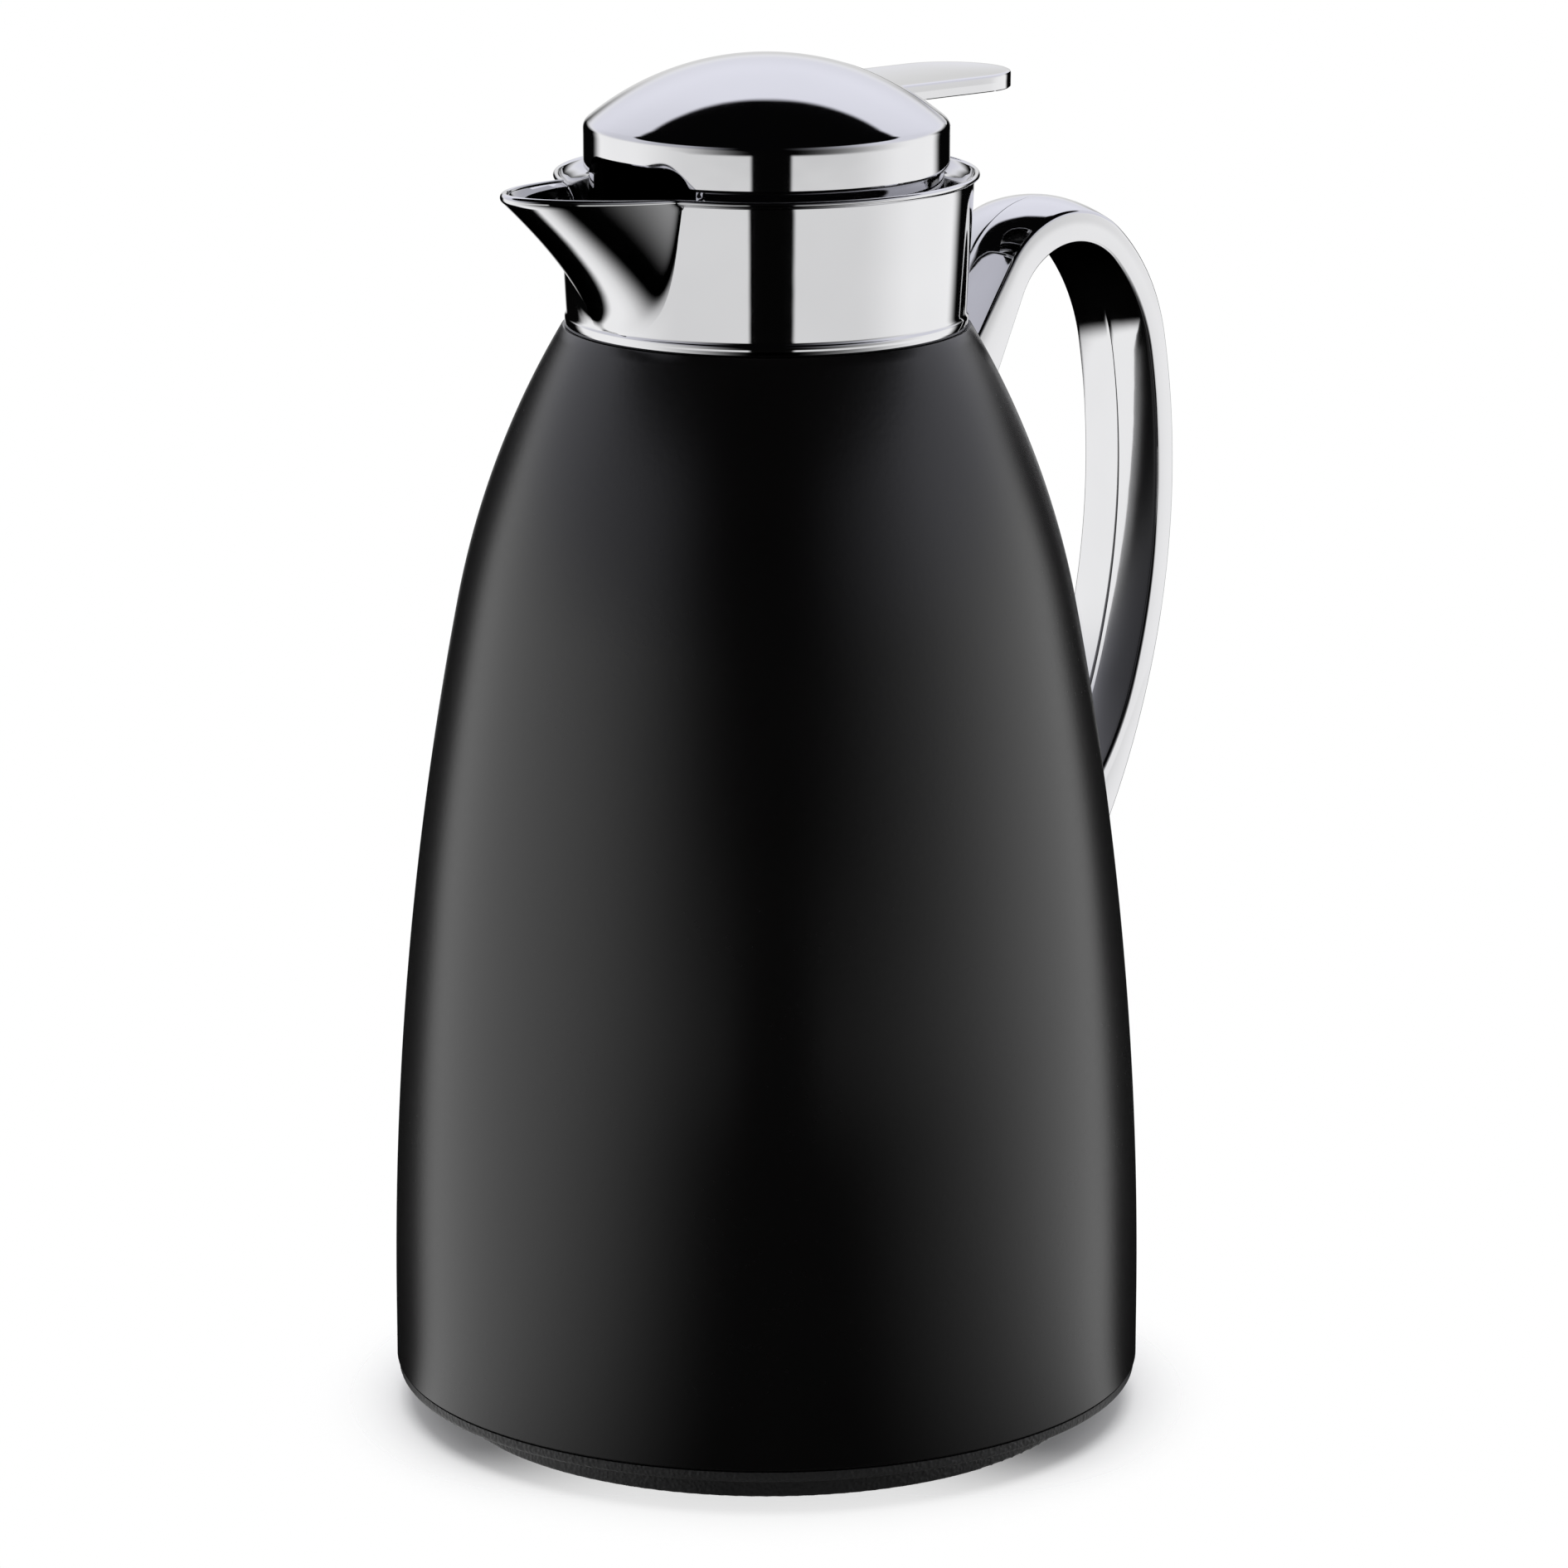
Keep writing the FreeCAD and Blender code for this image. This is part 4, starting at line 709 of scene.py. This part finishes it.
# %% The lever's hub and arms, and the whole lever
QUARTER = 0.4142
HUB_PROFILE = trace([
    (28.2, 253.0), (23.8, 253.0), (23.8, 248.2), (26.0, 246.0, QUARTER, 6), (28.2, 248.2, QUARTER, 6),
])
ARM_PROFILE = trace([
    (26.0, 246.9), (26.0, 249.5), (0.0, 249.5, 0, 6), (-1.3, 248.2, QUARTER, 5), (0.0, 246.9, QUARTER, 5),
])
HUB_HALF, ARM_INNER, ARM_OUTER = 9.5, 3.4, 5.9
BAR_EDGE, BAR_END = 0.15, 0.94


def add_bar(work, profile, first, last):
    """A bar across the jug with softened ends."""
    middle = [sum(point[part] for point in profile) / len(profile) for part in (0, 1)]
    rows = []
    for side, share in ((first, BAR_END), (first + BAR_EDGE, 1.0), (last - BAR_EDGE, 1.0), (last, BAR_END)):
        rows.append([(middle[0] + (across - middle[0]) * share, side, middle[1] + (up - middle[1]) * share)
                     for across, up in profile])
    add_sheet(work, rows, around=True, capped=True)


def make_lever():
    work = bmesh.new()
    places = range(-CROWN_COLUMNS, CROWN_COLUMNS + 1)
    sides = [CROWN_SIDE * math.sin(math.pi / 2 * place / CROWN_COLUMNS) for place in places]
    add_sheet(work, [crown_column(side) for side in sides], around=True, capped=True)
    paddle = [paddle_outline(inset, height) for inset, height in PADDLE_RINGS]
    add_sheet(work, paddle)
    root = [ring[0] for ring in paddle] + [ring[-1] for ring in reversed(paddle[1:-1])]
    work.faces.new([work.verts.new(Vector(point) * MILLIMETRE) for point in root])
    add_bar(work, HUB_PROFILE, -HUB_HALF, HUB_HALF)
    add_bar(work, ARM_PROFILE, ARM_INNER, ARM_OUTER)
    add_bar(work, ARM_PROFILE, -ARM_OUTER, -ARM_INNER)
    return smooth_mesh(work, "lever", chrome)


set_in_place("lever", make_lever(), "lever", "thumb_lever")

# %% [markdown]
# ## Handle
# The loop handle is made of two chromed half shells with a parting line on the mid-plane.
# An outer and an inner line give its side view. At each station a section with slightly crowned faces,
# a crisp rounded edge and a flat flank is set between them. The outer face is crowned most at the handle's top.

# %% The handle's lines and sections
OUTER_LINE = trace([
    (40.1, 198.1), (53.6, 218.1, 0, 14), (82.5, 221.6, -0.4552, 44), (95.0, 199.8, -0.1612, 22),
    (64.4, 77.5, -0.2243, 84),
])
INNER_LINE = trace([
    (44.5, 184.6), (56.7, 211.2, 0, 14), (81.2, 215.1, -0.5327, 44), (90.7, 196.3, -0.1425, 22),
    (86.9, 130.6, -0.1217, 46), (61.3, 96.8, -0.1768, 38),
])
HANDLE_HALF, HANDLE_EDGE, HANDLE_CROWN = 10.5, 0.7, 0.25
PARTING_DEPTH, PARTING_HALF, EDGE_STEPS = 0.05, 0.08, 5
INNER_CROWN, TOP_CROWN, CROWN_START, CROWN_FULL = 0.4, 1.7, 196.0, 214.0
FACE_SIDES = (0.02, 0.06, 0.12, 1.0, 2.0, 4.0, 6.0, 8.0, 9.2)


def half_section(depth, crown):
    """Points (depth into the strap, side) from the inner parting edge round to the outer one."""
    def face_drop(side):
        groove = PARTING_DEPTH * max(0, 1 - side / PARTING_HALF)
        return HANDLE_CROWN * (side / HANDLE_HALF) ** 2 + groove

    def swell(side):
        return 1 - (side / HANDLE_HALF) ** 2

    face = [(face_drop(side), side) for side in FACE_SIDES]
    base = face_drop(HANDLE_HALF - HANDLE_EDGE)
    for step in range(EDGE_STEPS + 1):
        turn = math.pi / 2 * step / EDGE_STEPS
        drop = base + HANDLE_EDGE * (1 - math.cos(turn))
        face.append((drop, HANDLE_HALF - HANDLE_EDGE * (1 - math.sin(turn))))
    inner = [(drop - INNER_CROWN * swell(side), side) for drop, side in face]
    outer = [(depth - drop + crown * swell(side), side) for drop, side in reversed(face)]
    return inner + [(depth / 2, HANDLE_HALF)] + outer


def make_handle_half(name, hand):
    rows = []
    for outer, inner in zip(OUTER_LINE, INNER_LINE):
        depth = math.dist(outer, inner)
        way = ((outer[0] - inner[0]) / depth, (outer[1] - inner[1]) / depth)
        share = min(max((outer[1] - CROWN_START) / (CROWN_FULL - CROWN_START), 0), 1)
        section = half_section(depth, TOP_CROWN * share * share * (3 - 2 * share))
        rows.append([(inner[0] + way[0] * into, hand * side, inner[1] + way[1] * into)
                     for into, side in section])
    work = bmesh.new()
    add_sheet(work, rows, around=True, capped=True)
    return smooth_mesh(work, name, chrome, crease=50.0)


set_in_place("handle_half_left", make_handle_half("handle_half_left", -1), "jug", "handle_left")
set_in_place("handle_half_right", make_handle_half("handle_half_right", 1), "jug", "handle_right")

# %% [markdown]
# ## Valve spring
# The spring is a wire wound round the valve's stem, so nodes wind it: a Spiral curve with a small circle
# swept along it.

# %% Winding the spring
SPRING_RADIUS, SPRING_WIRE, SPRING_PITCH = 4.2, 0.45, 4.0
COIL_POINTS, WIRE_SIDES = 40, 12
spring_low, spring_high = [corner.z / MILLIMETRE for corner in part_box("valve_spring")]
spring_rise = spring_high - spring_low - 2 * SPRING_WIRE


def winding_tree():
    tree = bpy.data.node_groups.new("wound_spring", "GeometryNodeTree")
    for label in ("Radius", "Wire", "Rise", "Turns", "Foot"):
        tree.interface.new_socket(label, in_out="INPUT", socket_type="NodeSocketFloat")
    tree.interface.new_socket("Finish", in_out="INPUT", socket_type="NodeSocketMaterial")
    tree.interface.new_socket("Piece", in_out="OUTPUT", socket_type="NodeSocketGeometry")
    wire = Wire(tree)
    entry = tree.nodes.new("NodeGroupInput")
    given = {socket.name: Wire(tree, socket) for socket in entry.outputs if socket.name}
    coil = wire.node("GeometryNodeCurveSpiral", {
        "Resolution": COIL_POINTS, "Rotations": given["Turns"], "Start Radius": given["Radius"],
        "End Radius": given["Radius"], "Height": given["Rise"]})
    round_wire = {"Resolution": WIRE_SIDES, "Radius": given["Wire"]}
    section = wire.node("GeometryNodeCurvePrimitiveCircle", round_wire)
    tube = wire.node("GeometryNodeCurveToMesh", {"Curve": coil, "Profile Curve": section, "Fill Caps": True})
    lift = wire.node("ShaderNodeCombineXYZ", {"Z": given["Foot"]})
    raised = wire.node("GeometryNodeSetPosition", {"Geometry": tube, "Offset": lift})
    solid = wire.node("GeometryNodeRealizeInstances", {"Geometry": raised})
    painted = wire.node("GeometryNodeSetMaterial", {"Geometry": solid, "Material": given["Finish"]})
    painted.into(tree.nodes.new("NodeGroupOutput"), "Piece")
    return tree


spring_settings = {
    "Radius": SPRING_RADIUS * MILLIMETRE, "Wire": SPRING_WIRE * MILLIMETRE, "Rise": spring_rise * MILLIMETRE,
    "Turns": spring_rise / SPRING_PITCH, "Foot": (spring_low + SPRING_WIRE) * MILLIMETRE, "Finish": steel}
spring_work = bmesh.new()
spring_work.from_mesh(grown_mesh("spring", winding_tree(), spring_settings))
spring = set_in_place("spring", smooth_mesh(spring_work, "spring", steel), "lid", "valve_spring")
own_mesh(spring)

# %% [markdown]
# ## Studio
# Chrome looks like what stands round it, so the surroundings matter as much as the metal.
# The jug stood between two pale walls, with a darker gap at the camera, a dark room behind and a dark ceiling.
# The world's nodes paint those from the direction alone. The camera itself sees plain white,
# and a round patch of floor that fades at its edge keeps the shadow that a lamp overhead makes.
# A second disc is seen in reflections alone. It shows the walls' light where the jug mirrors the table.

# %% Light by direction
TO_CAMERA = (-0.6561, -0.7547)
TO_RIGHT = (0.7547, -0.6561)
# Turns from the camera's side, in degrees, between which the walls' light comes up, grows brighter and ends
LEFT_RISE, RIGHT_RISE = (9.0, 70.0), (17.0, 108.0)
SIDE_RISE, SIDE_GAIN = (50.0, 95.0), 0.28
BACK_EDGE, BACK_SOFT = 126.0, 14.0


def step_up(wire, value, low, high):
    """0 below low, 1 above high and smooth between."""
    limits = {"Value": value, "From Min": low, "From Max": high}
    return wire.node("ShaderNodeMapRange", limits, interpolation_type="SMOOTHSTEP")


def blended(share, first, second):
    return first + share * (second - first)


def bearing(wire, place):
    """The three parts of a place and its turn from the camera's side, in degrees rightwards."""
    x, y, z = [wire.node("ShaderNodeSeparateXYZ", {0: place}, axis) for axis in "XYZ"]
    ahead = x * TO_CAMERA[0] + y * TO_CAMERA[1]
    right = x * TO_RIGHT[0] + y * TO_RIGHT[1]
    return ahead, right, z, wire.maths("ARCTAN2", right, ahead) * math.degrees(1)


def wall_light(wire, turn, back_edge):
    """Three factors of the walls' brightness: the gap at the camera, the brighter sides and the dark back."""
    aside = wire.maths("ABSOLUTE", turn)
    soft_front = step_up(wire, turn * -1, *LEFT_RISE) + step_up(wire, turn, *RIGHT_RISE)
    sides = 1 + SIDE_GAIN * step_up(wire, aside, *SIDE_RISE)
    return soft_front, sides, 1 - step_up(wire, aside, back_edge, back_edge + BACK_SOFT)


print("the walls' light ends", BACK_EDGE, "degrees round from the camera")

# %% The room's parts
# Low down, the gap at the camera has crisp edges; further up it is soft and leans leftwards
SLOT_LEFT, SLOT_RIGHT, SLOT_TOP = (-11.0, -8.0), (14.0, 17.0), (-9.0, -5.0)
GAP_LEAN, LEAN_HEIGHT = 8, (0.0, 20.0)
# The back is dark low down, apart from a strip of backdrop, and has a paler wall above
BACKDROP_LEVEL, BACKDROP_TURN = 0.6, (165.0, 174.0)
DARK_TOP, REAR_DIM, REAR_TURN, REAR_HEIGHT = (4.0, 14.0), 0.15, (140.0, 170.0), (14.0, 34.0)
# Upwards the walls lose light at the left, at the right and behind
LEFT_LOSS, LEFT_TURN = 0.38, (30.0, 80.0)
RIGHT_LOSS, RIGHT_TURN = 0.28, (60.0, 100.0)
BACK_LOSS, BACK_TURN, LOSS_HEIGHT = 0.14, (110.0, 170.0), (2.0, 18.0)
# The ceiling's edge is higher behind, and the light is cooler higher up
CEILING_EDGE, CEILING_RISE, CEILING_BEND, CEILING_SOFT = 34, 34, 8, (-2.0, 1.5)
COOL_TINT, COOL_HEIGHT, LEAST_LIGHT = (0.96, 0.965, 1.06), (5.0, 20.0), 0.002


def back_light(wire, aside, height, low_back):
    """What the back keeps of the light: little low down, nearly all of it above."""
    backdrop = BACKDROP_LEVEL * step_up(wire, aside, *BACKDROP_TURN)
    rear = 1 - REAR_DIM * step_up(wire, aside, *REAR_TURN) * (1 - step_up(wire, height, *REAR_HEIGHT))
    return blended(step_up(wire, height, *DARK_TOP), wire.maths("MAXIMUM", low_back, backdrop), rear)


def lost_light(wire, turn, aside, height):
    """What the walls lose upwards."""
    left = LEFT_LOSS * step_up(wire, turn * -1, *LEFT_TURN)
    right = RIGHT_LOSS * step_up(wire, turn, *RIGHT_TURN)
    loss = blended(step_up(wire, aside, *BACK_TURN), left + right, BACK_LOSS)
    return loss * step_up(wire, height, *LOSS_HEIGHT)


def below_ceiling(wire, ahead, right, height):
    """1 below the dark ceiling and 0 in it."""
    flat = wire.maths("SQRT", ahead * ahead + right * right)
    behind = wire.maths("MAXIMUM", ahead / flat * -1, 0.0)
    slant = behind * behind
    ceiling_edge = CEILING_EDGE + CEILING_RISE * slant - CEILING_BEND * slant * slant
    return 1 - step_up(wire, height - ceiling_edge, *CEILING_SOFT)


print("the ceiling begins", CEILING_EDGE, "degrees up at the camera's side")

# %% The world
def make_world():
    world = bpy.data.worlds.new("studio")
    bpy.context.scene.world = world
    world.use_nodes = True
    wire = Wire(world.node_tree)
    ahead, right, z, turn = bearing(wire, wire.node("ShaderNodeTexCoord", output="Generated"))
    height = wire.maths("ARCSINE", z) * math.degrees(1)
    aside = wire.maths("ABSOLUTE", turn)
    slot = 1 - step_up(wire, turn, *SLOT_LEFT) * (1 - step_up(wire, turn, *SLOT_RIGHT))
    lean = GAP_LEAN * step_up(wire, height, *LEAN_HEIGHT)
    soft_front, sides, low_back = wall_light(wire, turn + lean, BACK_EDGE)
    front = blended(step_up(wire, height, *SLOT_TOP), slot, soft_front)
    back = back_light(wire, aside, height, low_back)
    sides = sides - lost_light(wire, turn, aside, height)
    level = front * sides * back * below_ceiling(wire, ahead, right, height) + LEAST_LIGHT
    tint = between(wire, step_up(wire, height, *COOL_HEIGHT), grey(1.0), COOL_TINT)
    rays = [wire.node("ShaderNodeLightPath", output=kind) for kind in ("Is Camera Ray", "Is Transmission Ray")]
    seen = wire.maths("MAXIMUM", *rays)
    studio = wire.node("ShaderNodeBackground", {"Color": tint, "Strength": level})
    white = wire.node("ShaderNodeBackground", {"Color": (1, 1, 1, 1), "Strength": 1.0})
    mixed = wire.node("ShaderNodeMixShader", {0: seen, 1: studio, 2: white})
    mixed.into(world.node_tree.nodes["World Output"], "Surface")
    return world


print("made the world", make_world().name)

# %% Floor, mirrored table and overhead light
FLOOR_RADIUS, FLOOR_PATCH, DISC_SEGMENTS = 0.9, 0.05, 96
SHADOW_EDGE, SHADOW_ALPHA = (0.062, 0.092), 0.9
# The shadow is thinner on the side towards the camera
FRONT_EDGE, FRONT_THIN = (0.5, 0.95), 0.7
TABLE_RADIUS, TABLE_DROP, TABLE_PEAK = 0.62, 0.0005, 1.28
# Nearer the jug the table's dark back reaches further round, a painted shadow of the jug on the table: this
# many degrees at a metre's distance
TABLE_SHADOW_PULL = 4.2
LIGHT_HEIGHT, LIGHT_SIZE, LIGHT_POWER = 1.6, 1.5, 32.0


def stage_disc(name, radius, drop, material):
    """A flat round sheet that is part of the stage, this far below the jug's foot."""
    work = bmesh.new()
    bmesh.ops.create_circle(work, cap_ends=True, segments=DISC_SEGMENTS, radius=radius)
    mesh = bpy.data.meshes.new(name)
    work.to_mesh(mesh)
    work.free()
    mesh.materials.append(material)
    disc = bpy.data.objects.new(name, mesh)
    disc.location = (0, 0, -drop)
    bpy.context.scene.collection.objects.link(disc)
    return disc


def make_floor():
    material, shader, tree = new_finish("white_floor", {"Roughness": 0.9, "Specular IOR Level": 0.0})
    between(tree, clouds(tree, FLOOR_PATCH), grey(0.90), grey(0.91)).into(shader, "Base Color")
    place = tree.node("ShaderNodeTexCoord", output="Object")
    distance = tree.node("ShaderNodeVectorMath", {0: place}, "Value", operation="LENGTH")
    in_front = step_up(tree, bearing(tree, place)[0] / distance, *FRONT_EDGE)
    near = 1 - step_up(tree, distance, *SHADOW_EDGE)
    (SHADOW_ALPHA * near * (1 - FRONT_THIN * in_front)).into(shader, "Alpha")
    floor = stage_disc("floor", FLOOR_RADIUS, 0.0, material)
    floor.visible_glossy = False
    return floor


def make_table():
    """What the jug mirrors of the table: the walls' light, seen by reflections alone."""
    fixed = {"Base Color": (0, 0, 0, 1), "Specular IOR Level": 0.0, "Emission Strength": TABLE_PEAK}
    material, shader, tree = new_finish("table_light", fixed)
    place = tree.node("ShaderNodeTexCoord", output="Object")
    distance = tree.node("ShaderNodeVectorMath", {0: place}, "Value", operation="LENGTH")
    # Painted shadow of the jug: the table's dark back reaches further round nearer the jug
    back_edge = BACK_EDGE - tree.maths("DIVIDE", TABLE_SHADOW_PULL, distance)
    soft_front, sides, low_back = wall_light(tree, bearing(tree, place)[3], back_edge)
    level = soft_front * sides * low_back / TABLE_PEAK
    between(tree, level, grey(0), grey(1)).into(shader, "Emission Color")
    table = stage_disc("table_light", TABLE_RADIUS, TABLE_DROP, material)
    for kind in ("camera", "diffuse", "transmission", "volume_scatter", "shadow"):
        setattr(table, "visible_" + kind, False)
    return table


def make_light():
    lamp = bpy.data.lights.new("overhead", "AREA")
    lamp.shape = "DISK"
    lamp.size = LIGHT_SIZE
    lamp.energy = LIGHT_POWER
    light = bpy.data.objects.new("overhead", lamp)
    light.location = (0, 0, LIGHT_HEIGHT)
    light.visible_glossy = False
    light.visible_camera = False
    bpy.context.scene.collection.objects.link(light)
    return light


print("made", make_floor().name, make_table().name, "and", make_light().name)

# %% [markdown]
# ## Camera
# The camera stands at the photograph's angle, about 14 degrees above the horizon, with a long lens.

# %% Camera and view
CAMERA_PLACE = (-0.7873, -0.9057, 0.41808)
CAMERA_PITCH, CAMERA_HEADING = 13.87, 41.0
SENSOR_WIDTH, LENS = 36.0, 148.416
SHIFT_PIXELS, PICTURE_WIDTH = 21, 1891
camera_data = bpy.data.cameras.new("camera")
camera_data.sensor_width = SENSOR_WIDTH
camera_data.lens = LENS
camera_data.shift_x = SHIFT_PIXELS / PICTURE_WIDTH
camera = bpy.data.objects.new("camera", camera_data)
camera.location = CAMERA_PLACE
camera.rotation_euler = (math.radians(90 - CAMERA_PITCH), 0, math.radians(-CAMERA_HEADING))
bpy.context.scene.collection.objects.link(camera)
bpy.context.scene.camera = camera
bpy.context.scene.view_settings.view_transform = "Standard"
print("camera at", CAMERA_PLACE)
